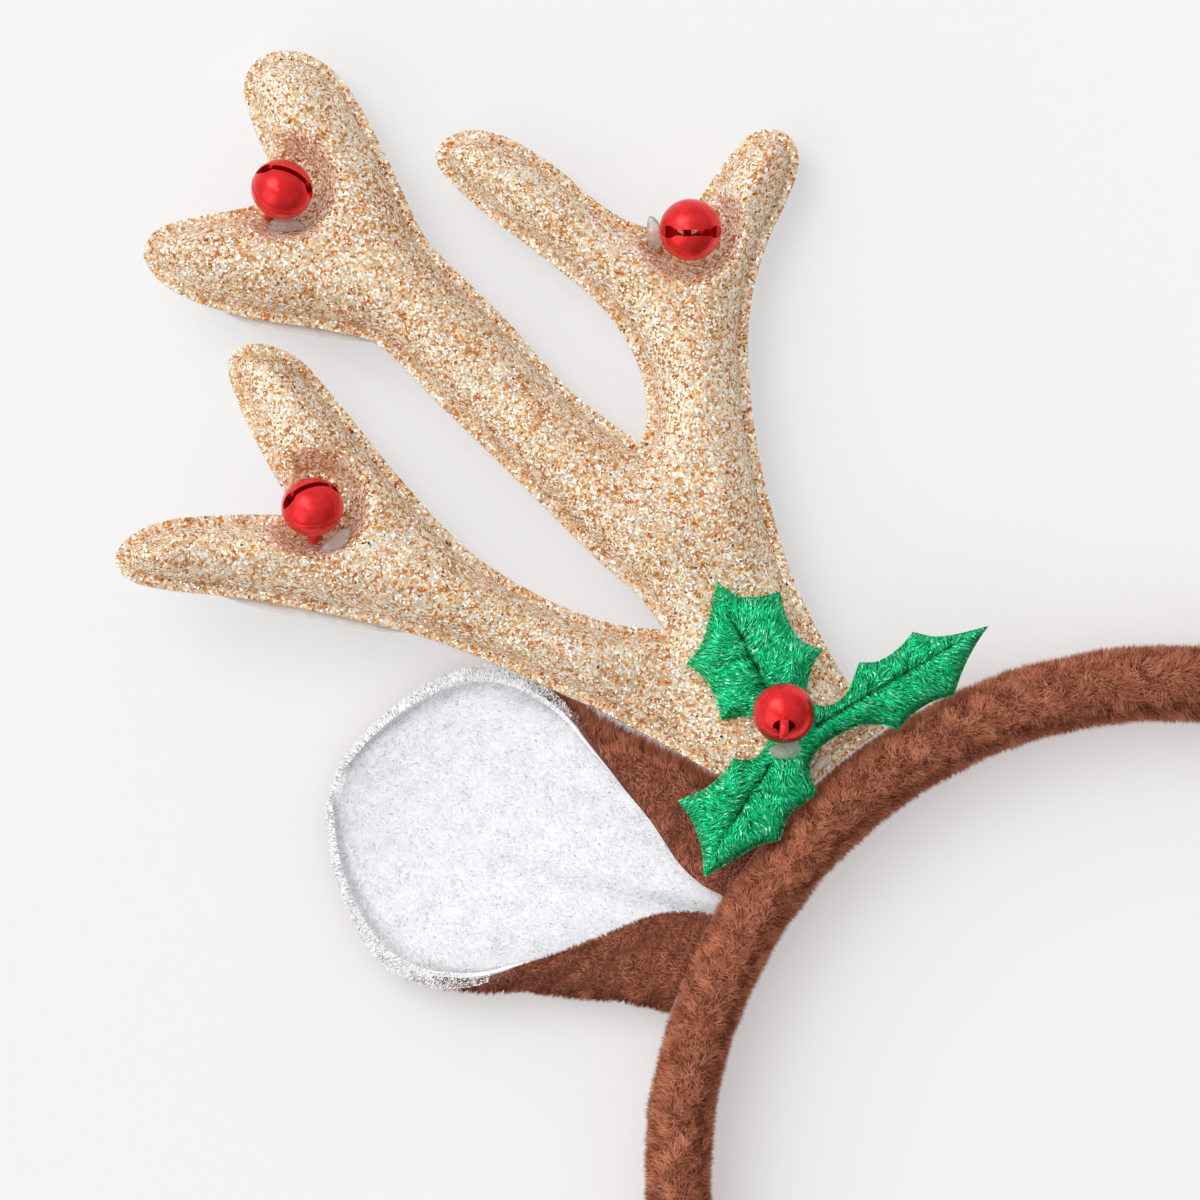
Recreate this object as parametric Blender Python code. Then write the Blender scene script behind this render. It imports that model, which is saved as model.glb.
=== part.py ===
"""Reindeer antler headband lying flat: plush hoop, padded glitter antlers, folded ears, holly and jingle bells."""

import math

import bmesh
import bpy
import numpy as np
from mathutils import Matrix, Vector
from mathutils.geometry import delaunay_2d_cdt

MM = 0.001
GAP = 0.3  # all lengths are in mm until a mesh is written
HALF_GAP = GAP / 2

# Hoop, lying on its edge: X across the head, Y toward the top of the head, Z up from the floor.
HOOP_OUTER_R = 70.7
HOOP_HEIGHT = 14.0
HOOP_PADDING_TOP = 10.2
HOOP_PADDING_SIDE = 8.8
HOOP_PADDING_TIP = 7.4
HOOP_TIP_HEIGHT = 11.5
LEG_BEND_R = 160.0
LEG_LENGTH = 66.0
LEG_END_ROUND = 5.0
ARC_STATIONS = 28
LEG_STATIONS = 6

# Antler: its root is on the outer face of the hoop, and it spreads outward and up.
ROOT_DEG = 37.1  # from the top of the hoop
ROOT_BEYOND_HOOP = -0.5
ANTLER_REACH = 98.7
ANTLER_RISE = 93.9
FOOT_BELOW_ROOT = 13.26
FOOT_ABOVE_ROOT = 4.96
OUTLINE_SAG = 0.14
OUTLINE_LONGEST = 8.0
RIM_WIDTH = 1.4
RIM_THICK = 0.9
RIM_GROOVE = 0.3
PUFF = 5.2
PUFF_AT_ROOT = 2.4
PUFF_FULL_WIDTH = 5.6
PUFF_RAMP_FROM = 24.0
PUFF_RAMP_TO = 40.0
BACKING_THICK = 1.0
BACKING_BULGE = 1.3
BACKING_SPACING = 5.0
ANTLER_Z = 8.3
LONG_AXIS = (0.627, 0.779)  # outward and up shares of the line from the root to the top tip
DROOP_ALONG = 0.02
RISE_LOW_SIDE = 0.158
RISE_TOP_SIDE = 0.06
RISE_FROM = 8.0
RISE_BLEND = 5.0

# Ear: a back and a lining folded together, its root on the outer face of the hoop.
EAR_DEG = 59.74  # from the top of the hoop
EAR_BEYOND_HOOP = 0.73
EAR_AXIS = (0.954, 0.30)
EAR_LENGTH = 52.5
EAR_HALF_WIDTH = 22.2
EAR_FOLD_R = 1.9
EAR_BACK_THICK = 1.5
EAR_LINING_THICK = 1.0
EAR_CLEAR_OF_FLOOR = 0.6
EAR_FOLLOWS_HOOP = 16.0

# Holly: one die-cut piece with three leaves.
HOLLY_DEG = 40.33  # from the top of the hoop
HOLLY_BEYOND_HOOP = 10.1
HOLLY_REACH = 29.6
HOLLY_Z = 13.0
HOLLY_THICK = 0.8
HOLLY_EMBOSS = 1.2
HOLLY_FULL_WIDTH = 2.6
HOLLY_RIB_DEPTH = 0.5
HOLLY_RIB_WIDTH = 0.9
HOLLY_SAG = 0.09
HOLLY_LONGEST = 3.5
HOLLY_NEAR_EDGE = 1.1
HOLLY_EDGE_SPACING = 1.9
HOLLY_GRID = 2.4
HOLLY_RIB_SPACING = 2.6

# Jingle bell: a slightly flattened hollow ball, its slot at the local +Z end and its loop at -Z.
BELL_R = 4.15
BELL_HALF_HEIGHT = 3.8
BELL_WALL = 0.6
BELL_SLOT = 0.9
BELL_HOLE_R = 0.85
BELL_HOLE_AT = 2.7
LOOP_R = 1.15
LOOP_WIRE_R = 0.42
SEAT_FLAT = 0.95
SEAT_REACH = 1.9
GLUE_HALF_LENGTH = 2.3
GLUE_HALF_WIDTH = 0.9
GLUE_HALF_HEIGHT = 0.5
ROOT_GLUE_BEYOND_HOOP = 1.6

CURVE = 0
CORNER = 1

# Columns: across (-1 outer face to 1 inner face), height (-1 floor to 1 top).
HOOP_SECTION = (
    (-0.45, -1.00),
    (0.45, -1.00),
    (0.80, -0.80),
    (0.96, -0.44),
    (1.00, 0.00),
    (0.95, 0.36),
    (0.82, 0.64),
    (0.70, 0.60),
    (0.63, 0.82),
    (0.40, 0.94),
    (0.00, 1.00),
    (-0.40, 0.94),
    (-0.74, 0.72),
    (-0.94, 0.38),
    (-1.00, 0.00),
    (-0.95, -0.42),
    (-0.78, -0.80),
)

# Columns: outward share of ANTLER_REACH, up share of ANTLER_RISE, kind of point.
ANTLER_OUTLINE = (
    (0.014, 0.102, CURVE),
    (0.080, 0.232, CURVE),
    (0.113, 0.334, CURVE),
    (0.137, 0.447, CURVE),
    (0.148, 0.572, CURVE),
    (0.142, 0.653, CURVE),
    (0.121, 0.729, CURVE),
    (0.092, 0.795, CURVE),
    (0.079, 0.845, CURVE),
    (0.095, 0.881, CURVE),
    (0.128, 0.888, CURVE),
    (0.156, 0.871, CURVE),
    (0.192, 0.822, CURVE),
    (0.217, 0.784, CURVE),
    (0.238, 0.757, CURVE),
    (0.274, 0.747, CURVE),
    (0.332, 0.770, CURVE),
    (0.409, 0.835, CURVE),
    (0.472, 0.876, CURVE),
    (0.522, 0.887, CURVE),
    (0.560, 0.871, CURVE),
    (0.569, 0.842, CURVE),
    (0.524, 0.787, CURVE),
    (0.425, 0.706, CURVE),
    (0.348, 0.638, CURVE),
    (0.298, 0.558, CURVE),
    (0.284, 0.483, CURVE),
    (0.294, 0.442, CORNER),
    (0.386, 0.514, CURVE),
    (0.476, 0.618, CURVE),
    (0.548, 0.692, CURVE),
    (0.586, 0.737, CURVE),
    (0.632, 0.838, CURVE),
    (0.683, 0.939, CURVE),
    (0.719, 0.980, CURVE),
    (0.763, 1.000, CURVE),
    (0.807, 0.990, CURVE),
    (0.829, 0.953, CURVE),
    (0.819, 0.901, CURVE),
    (0.794, 0.838, CURVE),
    (0.775, 0.793, CORNER),
    (0.834, 0.774, CURVE),
    (0.915, 0.757, CURVE),
    (0.953, 0.737, CURVE),
    (0.963, 0.703, CURVE),
    (0.926, 0.659, CURVE),
    (0.834, 0.622, CURVE),
    (0.713, 0.601, CURVE),
    (0.648, 0.581, CURVE),
    (0.578, 0.510, CURVE),
    (0.456, 0.385, CURVE),
    (0.348, 0.273, CURVE),
    (0.294, 0.223, CURVE),
    (0.260, 0.176, CORNER),
    (0.334, 0.186, CURVE),
    (0.429, 0.224, CURVE),
    (0.524, 0.287, CURVE),
    (0.611, 0.382, CURVE),
    (0.703, 0.500, CURVE),
    (0.760, 0.564, CURVE),
    (0.815, 0.582, CURVE),
    (0.848, 0.561, CURVE),
    (0.837, 0.501, CURVE),
    (0.794, 0.409, CURVE),
    (0.755, 0.339, CORNER),
    (0.848, 0.339, CURVE),
    (0.936, 0.330, CURVE),
    (0.986, 0.304, CURVE),
    (0.999, 0.268, CURVE),
    (0.963, 0.240, CURVE),
    (0.834, 0.222, CURVE),
    (0.699, 0.196, CURVE),
    (0.556, 0.156, CURVE),
    (0.361, 0.068, CURVE),
    (0.280, 0.024, CURVE),
    (0.190, -0.030, CURVE),
)

# Runs of points over the padding, as shares of PUFF_FULL_WIDTH. Columns: depth past the rim, spacing.
PADDING_RINGS = (
    (0.0, 0.607),
    (0.3, 0.679),
    (0.62, 0.750),
    (1.2, 0.821),
)

# Where the backing reaches past the front. Columns: outward share, up share, spread as a share of
# ANTLER_REACH, overhang as a share of RIM_WIDTH.
BACKING_SHOWS = (
    (0.753, 0.615, 0.091, 0.643),
    (0.733, 0.203, 0.111, 0.714),
)

# Columns: share of EAR_LENGTH, fold centre as a share of EAR_HALF_WIDTH, fold radius as a share of
# EAR_FOLD_R, turn of the fold in degrees, length past the fold as a share of EAR_HALF_WIDTH, lift as a
# share of EAR_FOLD_R.
EAR_STATIONS = (
    (0.000, 0.534, 1.00, 180, 0.507, 0.0),
    (0.063, 0.543, 1.00, 180, 0.473, 0.0),
    (0.133, 0.556, 1.00, 180, 0.378, 0.0),
    (0.240, 0.615, 1.00, 180, 0.225, 0.0),
    (0.328, 0.642, 1.10, 172, 0.110, 0.0),
    (0.419, 0.678, 1.20, 150, 0.045, 0.0),
    (0.501, 0.732, 1.37, 118, 0.030, 0.0),
    (0.571, 0.750, 1.58, 92, 0.022, 0.0),
    (0.648, 0.761, 1.84, 75, 0.022, 0.0),
    (0.762, 0.716, 1.84, 60, 0.022, 0.10),
    (0.865, 0.529, 1.84, 50, 0.022, 0.42),
    (0.952, 0.266, 1.58, 45, 0.022, 0.95),
    (1.000, 0.030, 1.32, 42, 0.022, 1.47),
)
FOLD_STEPS = 4

# Columns: outward share of HOLLY_REACH, up share of HOLLY_REACH, kind of point.
HOLLY_OUTLINE = (
    (0.298, 0.591, CORNER),
    (0.203, 0.528, CURVE),
    (0.104, 0.525, CURVE),
    (0.014, 0.546, CORNER),
    (-0.014, 0.433, CURVE),
    (-0.077, 0.329, CURVE),
    (-0.176, 0.284, CORNER),
    (-0.131, 0.207, CURVE),
    (-0.095, 0.063, CORNER),
    (-0.185, 0.032, CURVE),
    (-0.275, 0.079, CURVE),
    (-0.340, 0.228, CORNER),
    (-0.424, 0.234, CURVE),
    (-0.514, 0.289, CURVE),
    (-0.583, 0.365, CORNER),
    (-0.676, 0.345, CURVE),
    (-0.780, 0.356, CURVE),
    (-0.922, 0.392, CORNER),
    (-0.861, 0.302, CURVE),
    (-0.807, 0.194, CURVE),
    (-0.766, 0.079, CORNER),
    (-0.672, 0.052, CURVE),
    (-0.582, -0.005, CURVE),
    (-0.514, -0.077, CORNER),
    (-0.446, -0.054, CURVE),
    (-0.347, -0.056, CURVE),
    (-0.248, -0.099, CURVE),
    (-0.162, -0.162, CURVE),
    (-0.119, -0.239, CURVE),
    (-0.153, -0.359, CORNER),
    (-0.090, -0.410, CURVE),
    (-0.027, -0.464, CURVE),
    (0.014, -0.573, CORNER),
    (0.108, -0.595, CURVE),
    (0.225, -0.663, CURVE),
    (0.358, -0.739, CORNER),
    (0.365, -0.627, CURVE),
    (0.406, -0.496, CURVE),
    (0.473, -0.392, CORNER),
    (0.361, -0.343, CURVE),
    (0.275, -0.275, CURVE),
    (0.225, -0.205, CORNER),
    (0.131, -0.203, CURVE),
    (0.059, -0.113, CORNER),
    (0.140, -0.020, CURVE),
    (0.280, -0.032, CORNER),
    (0.302, 0.059, CURVE),
    (0.365, 0.167, CURVE),
    (0.437, 0.221, CORNER),
    (0.370, 0.307, CURVE),
    (0.329, 0.451, CURVE),
)

# The rib of each leaf. Columns: outward and up share at its foot, then at its tip.
HOLLY_RIBS = (
    (0.060, 0.080, 0.270, 0.530),
    (-0.140, -0.060, -0.850, 0.360),
    (0.060, -0.230, 0.340, -0.660),
)

# Columns: name, outward share of ANTLER_REACH, up share of ANTLER_RISE, seat above what is under it as
# a share of BELL_R, slot heading from outward and slot lift from level in degrees, spin of the slot
# about its own axis, glue offset outward and up as shares of BELL_R.
BELLS = (
    ("top", 0.776, 0.801, 0.289, 145, 35, 0, -0.072, -1.133),
    ("inner", 0.226, 0.744, 0.434, 290, 75, 20, 1.181, -0.096),
    ("low", 0.734, 0.351, 0.361, 80, 35, 0, -0.771, -1.108),
    ("holly", 0.101, 0.060, 0.024, 90, -62, 0, -0.096, -1.205),
)

# Spots under a glue drop, as shares of its half length and half width.
GLUE_FOOTPRINT = (
    (0.0, 0.0),
    (0.8, 0.0),
    (-0.8, 0.0),
    (0.0, 0.8),
    (0.0, -0.8),
    (0.5, 0.6),
    (-0.5, 0.6),
    (0.5, -0.6),
    (-0.5, -0.6),
)

# Columns: name, red, green, blue, roughness, metallic.
MATERIALS = {
    "brown_plush": (0.290, 0.105, 0.060, 0.95, 0.0),
    "champagne_glitter": (0.720, 0.520, 0.330, 0.45, 0.3),
    "white_backing": (0.820, 0.790, 0.760, 0.85, 0.0),
    "white_pile": (0.860, 0.870, 0.900, 0.95, 0.0),
    "green_foil": (0.010, 0.400, 0.130, 0.30, 0.7),
    "red_metal": (0.620, 0.020, 0.025, 0.32, 0.6),
    "clear_glue": (0.760, 0.740, 0.720, 0.35, 0.0),
}


def clear_scene():
    for obj in list(bpy.data.objects):
        bpy.data.objects.remove(obj, do_unlink=True)


def material_for(name, look):
    """A new material of its own for one sub-part."""
    red, green, blue, roughness, metallic = MATERIALS[look]
    material = bpy.data.materials.new(name + "_" + look)
    material.use_nodes = True
    shader = material.node_tree.nodes["Principled BSDF"]
    shader.inputs["Base Color"].default_value = (red, green, blue, 1.0)
    shader.inputs["Roughness"].default_value = roughness
    shader.inputs["Metallic"].default_value = metallic
    material.diffuse_color = (red, green, blue, 1.0)
    return material


def volume_of(points, faces):
    total = 0.0
    for face in faces:
        for k in range(1, len(face) - 1):
            a, b, c = points[face[0]], points[face[k]], points[face[k + 1]]
            total += float(np.dot(a, np.cross(b, c)))
    return total


def add_solid(name, look, points, faces, centre, smooth_deg=40.0):
    """One closed mesh object, its own origin at centre, faces turned outward."""
    points = np.asarray(points, float)
    if volume_of(points, faces) < 0:
        faces = [tuple(reversed(face)) for face in faces]
    mesh = bpy.data.meshes.new(name)
    local = (points - np.asarray(centre)) * MM
    mesh.from_pydata([tuple(p) for p in local], [], [tuple(f) for f in faces])
    mesh.validate()
    mesh.shade_smooth()
    mesh.set_sharp_from_angle(angle=math.radians(smooth_deg))
    mesh.materials.append(material_for(name, look))
    obj = bpy.data.objects.new(name, mesh)
    bpy.context.scene.collection.objects.link(obj)
    obj.location = Vector(centre) * MM
    return obj


def hermite(p, q, tp, tq, steps):
    t = np.linspace(0.0, 1.0, steps, endpoint=False)[:, None]
    return (
        (2 * t**3 - 3 * t**2 + 1) * p
        + (t**3 - 2 * t**2 + t) * tp
        + (3 * t**2 - 2 * t**3) * q
        + (t**3 - t**2) * tq
    )


def fine_outline(points, kinds, steps=12):
    """Closed curve through the points, turning left; returns its samples and which of them are corners."""
    if np.sum(points[:, 0] * np.roll(points[:, 1], -1) - points[:, 1] * np.roll(points[:, 0], -1)) < 0:
        points, kinds = points[::-1], kinds[::-1]
    count = len(points)
    samples, corner = [], []
    for i in range(count):
        before, here = points[i - 1], points[i]
        after, beyond = points[(i + 1) % count], points[(i + 2) % count]
        chord = after - here
        tangent = chord if kinds[i] == CORNER else (after - before) / 2
        reach = np.linalg.norm(chord)
        leaving = tangent / (np.linalg.norm(tangent) + 1e-9) * reach
        arriving = chord if kinds[(i + 1) % count] == CORNER else (beyond - here) / 2
        arriving = arriving / (np.linalg.norm(arriving) + 1e-9) * reach
        samples.append(hermite(here, after, leaving, arriving, steps))
        corner += [kinds[i] == CORNER] + [False] * (steps - 1)
    return np.concatenate(samples), np.array(corner)


def thinned(samples, corner, sag, longest):
    """The samples that keep every chord within sag of the curve and under the longest length."""
    start = int(np.argmax(corner))
    samples = np.roll(samples, -start, axis=0)
    corner = np.roll(corner, -start)
    closed = np.concatenate([samples, samples[:1]])
    ends = np.append(corner, True)
    keep, i = [], 0
    while i < len(samples):
        keep.append(i)
        j = i + 1
        while j < len(samples) and not ends[j]:
            chord = closed[j + 1] - closed[i]
            length = np.linalg.norm(chord)
            between = closed[i + 1 : j + 1] - closed[i]
            off = np.abs(between[:, 0] * chord[1] - between[:, 1] * chord[0]) / (length + 1e-9)
            if off.max() > sag or length > longest:
                break
            j += 1
        i = j
    return samples[keep]


def distance_to(samples, points):
    """Distance in plan from each point to the nearest sample."""
    points = np.atleast_2d(points)
    return np.sqrt(((points[:, None] - samples[None]) ** 2).sum(axis=2)).min(axis=1)


def inside_points(samples, ring, offset, spacing):
    """Points at one inward offset from the ring, no closer together than the spacing."""
    ahead = np.roll(ring, -1, axis=0) - np.roll(ring, 1, axis=0)
    normal = np.stack([-ahead[:, 1], ahead[:, 0]], axis=1)
    normal /= np.linalg.norm(normal, axis=1)[:, None]
    moved = ring + normal * offset
    far = distance_to(samples, moved) > offset * 0.94
    kept = []
    for point in moved[far]:
        if all(np.hypot(*(point - other)) > spacing for other in kept):
            kept.append(point)
    return kept


def contains(ring, point):
    x, y = point
    inside = False
    for (ax, ay), (bx, by) in zip(ring, np.roll(ring, -1, axis=0)):
        if (ay > y) != (by > y) and x < (bx - ax) * (y - ay) / (by - ay) + ax:
            inside = not inside
    return inside


def grid_inside(samples, ring, least, spacing):
    """Staggered grid points further inside the ring than the least distance."""
    low, high = ring.min(axis=0), ring.max(axis=0)
    rows = []
    for j, y in enumerate(np.arange(low[1], high[1], spacing * 0.866)):
        for x in np.arange(low[0] + spacing / 2 * (j % 2), high[0], spacing):
            rows.append((x, y))
    rows = np.array(rows)
    rows = rows[distance_to(samples, rows) > least]
    return [row for row in rows if contains(ring, row)]


def turn_of(a, b, c):
    return (b[0] - a[0]) * (c[1] - a[1]) - (b[1] - a[1]) * (c[0] - a[0])


def crossing(a, b, c, d):
    return turn_of(a, b, c) * turn_of(a, b, d) < 0 and turn_of(c, d, a) * turn_of(c, d, b) < 0


def linked(spots, first, edges, longest):
    """Edges between neighbours among the spots from first on that cross none of the edges so far."""
    kept = []
    count = len(spots) - first
    for k in range(count):
        i, j = first + k, first + (k + 1) % count
        a, b = spots[i], spots[j]
        if not 0 < np.hypot(*(a - b)) < longest:
            continue
        if not any(crossing(a, b, spots[m], spots[n]) for m, n in edges + kept):
            kept.append((i, j))
    return kept


def filled(ring, inner, edges=()):
    """Triangles over the ring through the inner points, by index into ring then inner."""
    flat = [Vector(p) for p in list(ring) + list(inner)]
    loop = list(range(len(ring)))
    _, _, faces, origin, _, _ = delaunay_2d_cdt(flat, list(edges), [loop], 1, 1e-5)
    first = [source[0] for source in origin]
    return [tuple(first[k] for k in face) for face in faces]


def padded_slab(ring, inner_top, inner_bottom, top, bottom, edges=()):
    """Closed slab over a ring: top and bottom turn plan points into points in space."""
    top_faces = filled(ring, inner_top, edges)
    bottom_faces = filled(ring, inner_bottom)
    n = len(ring)
    over = top(np.array(list(ring) + list(inner_top)))
    under = bottom(np.array(list(ring) + list(inner_bottom)))
    shift = len(over)
    faces = list(top_faces)
    faces += [tuple(shift + k for k in reversed(face)) for face in bottom_faces]
    for i in range(n):
        j = (i + 1) % n
        faces.append((j, i, shift + i, shift + j))
    return np.concatenate([over, under]), faces


def smooth_step(value, low, high):
    t = np.clip((value - low) / (high - low), 0.0, 1.0)
    return t * t * (3 - 2 * t)


def pillow(share):
    share = np.clip(share, 0.0, 1.0)
    return np.sqrt(1 - (1 - share) ** 2)


# Everything on one side is drawn with x as the distance outward from the middle of the head.
def on_hoop(degrees, beyond):
    """The spot at an angle from the top of the hoop and a distance beyond its outer face."""
    angle = math.radians(degrees)
    return (HOOP_OUTER_R + beyond) * math.sin(angle), (HOOP_OUTER_R + beyond) * math.cos(angle)


ROOT_OUT, ROOT_UP = on_hoop(ROOT_DEG, ROOT_BEYOND_HOOP)
EAR_OUT, EAR_UP = on_hoop(EAR_DEG, EAR_BEYOND_HOOP)
HOLLY_OUT, HOLLY_UP = on_hoop(HOLLY_DEG, HOLLY_BEYOND_HOOP)


def antler_points(rows):
    return np.array([(ROOT_OUT + out * ANTLER_REACH, ROOT_UP + up * ANTLER_RISE) for out, up, *_ in rows])


def antler_middle(plan):
    """Height of the sheet between front and backing, which is twisted so that its low side rises."""
    away = plan - np.array((ROOT_OUT, ROOT_UP))
    along = away @ np.array(LONG_AXIS)
    side = away @ np.array((LONG_AXIS[1], -LONG_AXIS[0]))
    bent = np.logaddexp(0.0, (side - RISE_FROM) / RISE_BLEND) * RISE_BLEND
    return ANTLER_Z - DROOP_ALONG * along + (RISE_LOW_SIDE - RISE_TOP_SIDE) * bent + RISE_TOP_SIDE * side


def off_middle(plan, height):
    """Points at a height square to the antler's middle sheet."""
    step = 0.05
    z = antler_middle(plan)
    slope_x = (antler_middle(plan + (step, 0)) - antler_middle(plan - (step, 0))) / (2 * step)
    slope_y = (antler_middle(plan + (0, step)) - antler_middle(plan - (0, step))) / (2 * step)
    normal = np.stack([-slope_x, -slope_y, np.ones(len(plan))], axis=1)
    normal /= np.linalg.norm(normal, axis=1)[:, None]
    return np.column_stack([plan, z]) + normal * np.asarray(height)[:, None]


def bell_places():
    """The plan centre of each bell."""
    return antler_points([row[1:3] for row in BELLS])


def front_height(plan, samples):
    """Height of the glitter front above the middle sheet: rim, groove, then padding, sunk under each bell."""
    depth = distance_to(samples, plan)
    root = np.array((ROOT_OUT, ROOT_UP))
    ramp = smooth_step(np.hypot(*(plan - root).T), PUFF_RAMP_FROM, PUFF_RAMP_TO)
    puff = PUFF_AT_ROOT + (PUFF - PUFF_AT_ROOT) * ramp
    height = puff * pillow((depth - RIM_WIDTH) / PUFF_FULL_WIDTH)
    for place in bell_places()[:3]:
        reach = np.hypot(*(plan - place).T)
        height = height * smooth_step(reach, BELL_R * SEAT_FLAT, BELL_R * SEAT_REACH)
    groove = RIM_GROOVE * (np.abs(depth - RIM_WIDTH) < RIM_WIDTH / 4)
    return HALF_GAP + RIM_THICK - groove + height


def backing_depth(plan, samples):
    depth = distance_to(samples, plan)
    return -(HALF_GAP + BACKING_THICK + BACKING_BULGE * pillow(depth / PUFF_FULL_WIDTH))


def antler_outline():
    from_deg = ROOT_DEG + math.degrees(FOOT_BELOW_ROOT / (HOOP_OUTER_R + GAP))
    to_deg = ROOT_DEG - math.degrees(FOOT_ABOVE_ROOT / (HOOP_OUTER_R + GAP))
    foot = [on_hoop(degrees, GAP) for degrees in np.linspace(from_deg, to_deg, 5)]
    points = np.concatenate([antler_points(ANTLER_OUTLINE), np.array(foot)])
    kinds = [row[2] for row in ANTLER_OUTLINE] + [CORNER, CURVE, CURVE, CURVE, CORNER]
    return fine_outline(points, kinds)


def antler_solids():
    """Front and backing of one antler, as points and faces."""
    samples, corner = antler_outline()
    ring = thinned(samples, corner, OUTLINE_SAG, OUTLINE_LONGEST)
    seats = bell_places()[:3]
    inner = []
    rim_edges = [(i, (i + 1) % len(ring)) for i in range(len(ring))]
    edges = []
    for share, spacing_share in PADDING_RINGS:
        spacing = PUFF_FULL_WIDTH * spacing_share
        run = inside_points(samples, samples[::6], RIM_WIDTH + PUFF_FULL_WIDTH * share, spacing)
        if share > 0:
            run = [p for p in run if distance_to(seats, p)[0] > BELL_R * 1.5]
        first = len(ring) + len(inner)
        inner += run
        edges += linked(list(ring) + inner, first, rim_edges + edges, spacing * 1.6)
    for place in seats:
        for a in np.radians(np.arange(0, 360, 36)):
            spot = place + BELL_R * 1.2 * np.array((math.cos(a), math.sin(a)))
            if distance_to(samples, spot)[0] > RIM_WIDTH * 1.5 and contains(ring, spot):
                inner.append(spot)
    front = padded_slab(
        ring,
        inner,
        [],
        lambda plan: off_middle(plan, front_height(plan, samples)),
        lambda plan: off_middle(plan, np.full(len(plan), HALF_GAP)),
        edges,
    )
    overhang = np.zeros(len(ring))
    for out, up, spread, reach in BACKING_SHOWS:
        place = antler_points([(out, up)])[0]
        away = np.hypot(*(ring - place).T) / (spread * ANTLER_REACH)
        overhang += RIM_WIDTH * reach * np.exp(-(away**4))
    ahead = np.roll(ring, -1, axis=0) - np.roll(ring, 1, axis=0)
    outward = np.stack([ahead[:, 1], -ahead[:, 0]], axis=1)
    outward /= np.linalg.norm(outward, axis=1)[:, None]
    wide = ring + outward * overhang[:, None]
    sunk = inside_points(samples, samples[::12], PUFF_FULL_WIDTH * 0.55, BACKING_SPACING)
    backing = padded_slab(
        wide,
        [],
        sunk,
        lambda plan: off_middle(plan, np.full(len(plan), -HALF_GAP)),
        lambda plan: off_middle(plan, backing_depth(plan, np.concatenate([samples, wide]))),
    )
    return front, backing


def ear_row(share):
    """One station of the ear, read between the table's rows."""
    table = np.array(EAR_STATIONS)
    return [float(np.interp(share, table[:, 0], table[:, k])) for k in range(1, table.shape[1])]


def ear_section(row):
    """Middle line of the folded ear across one station: points (across, height) and their normals."""
    centre, radius, turn, past, lift = row
    centre *= EAR_HALF_WIDTH
    radius *= EAR_FOLD_R
    past *= EAR_HALF_WIDTH
    lift *= EAR_FOLD_R
    turn = math.radians(turn)
    half = [((0.5 * centre, 0.0), (0.0, 1.0)), ((centre, 0.0), (0.0, 1.0))]
    for k in range(1, FOLD_STEPS + 1):
        a = turn * k / FOLD_STEPS
        half.append(((centre + radius * math.sin(a), radius * (1 - math.cos(a))), (-math.sin(a), math.cos(a))))
    (x, z), normal = half[-1]
    half.append(((x + past * math.cos(turn), z + past * math.sin(turn)), normal))
    right = [((x, z + lift), n) for (x, z), n in half]
    left = [((-x, z), (-nx, nz)) for (x, z), (nx, nz) in reversed(right)]
    return left + [((0.0, lift), (0.0, 1.0))] + right


def ear_to_side(along, across, height):
    """Ear frame to the side frame, its root cut to follow the outer face of the hoop."""
    ax, ay = EAR_AXIS
    hoop_r = HOOP_OUTER_R + 2 * GAP
    hoop_along = -(EAR_OUT * ax + EAR_UP * ay)
    hoop_across = EAR_OUT * ay - EAR_UP * ax
    root = hoop_along + math.sqrt(hoop_r**2 - (across - hoop_across) ** 2)
    along = along + root * max(0.0, 1 - along / EAR_FOLLOWS_HOOP)
    return (EAR_OUT + along * ax - across * ay, EAR_UP + along * ay + across * ax, height)


def ear_sheet(low, high):
    """Closed sheet between two offsets from the ear's middle line."""
    base = EAR_CLEAR_OF_FLOOR + GAP + EAR_BACK_THICK
    points = []
    for share, *_ in EAR_STATIONS:
        section = ear_section(ear_row(share))
        for offset in (low, high):
            for (x, z), (nx, nz) in section:
                points.append(
                    ear_to_side(share * EAR_LENGTH, x + nx * offset, base + z + nz * offset)
                )
    width = len(section)
    stations = len(EAR_STATIONS)
    faces = []

    def at(station, side, k):
        return (station * 2 + side) * width + k

    def add(a, b, c, d, turned):
        for face in ((a, b, c), (a, c, d)):
            faces.append(face[::-1] if turned else face)

    for s in range(stations - 1):
        for k in range(width - 1):
            for side in (0, 1):
                add(at(s, side, k), at(s + 1, side, k), at(s + 1, side, k + 1), at(s, side, k + 1), not side)
        for k in (0, width - 1):
            add(at(s, 0, k), at(s + 1, 0, k), at(s + 1, 1, k), at(s, 1, k), k > 0)
    for s in (0, stations - 1):
        for k in range(width - 1):
            add(at(s, 0, k), at(s, 1, k), at(s, 1, k + 1), at(s, 0, k + 1), s > 0)
    return np.array(points), faces


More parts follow.
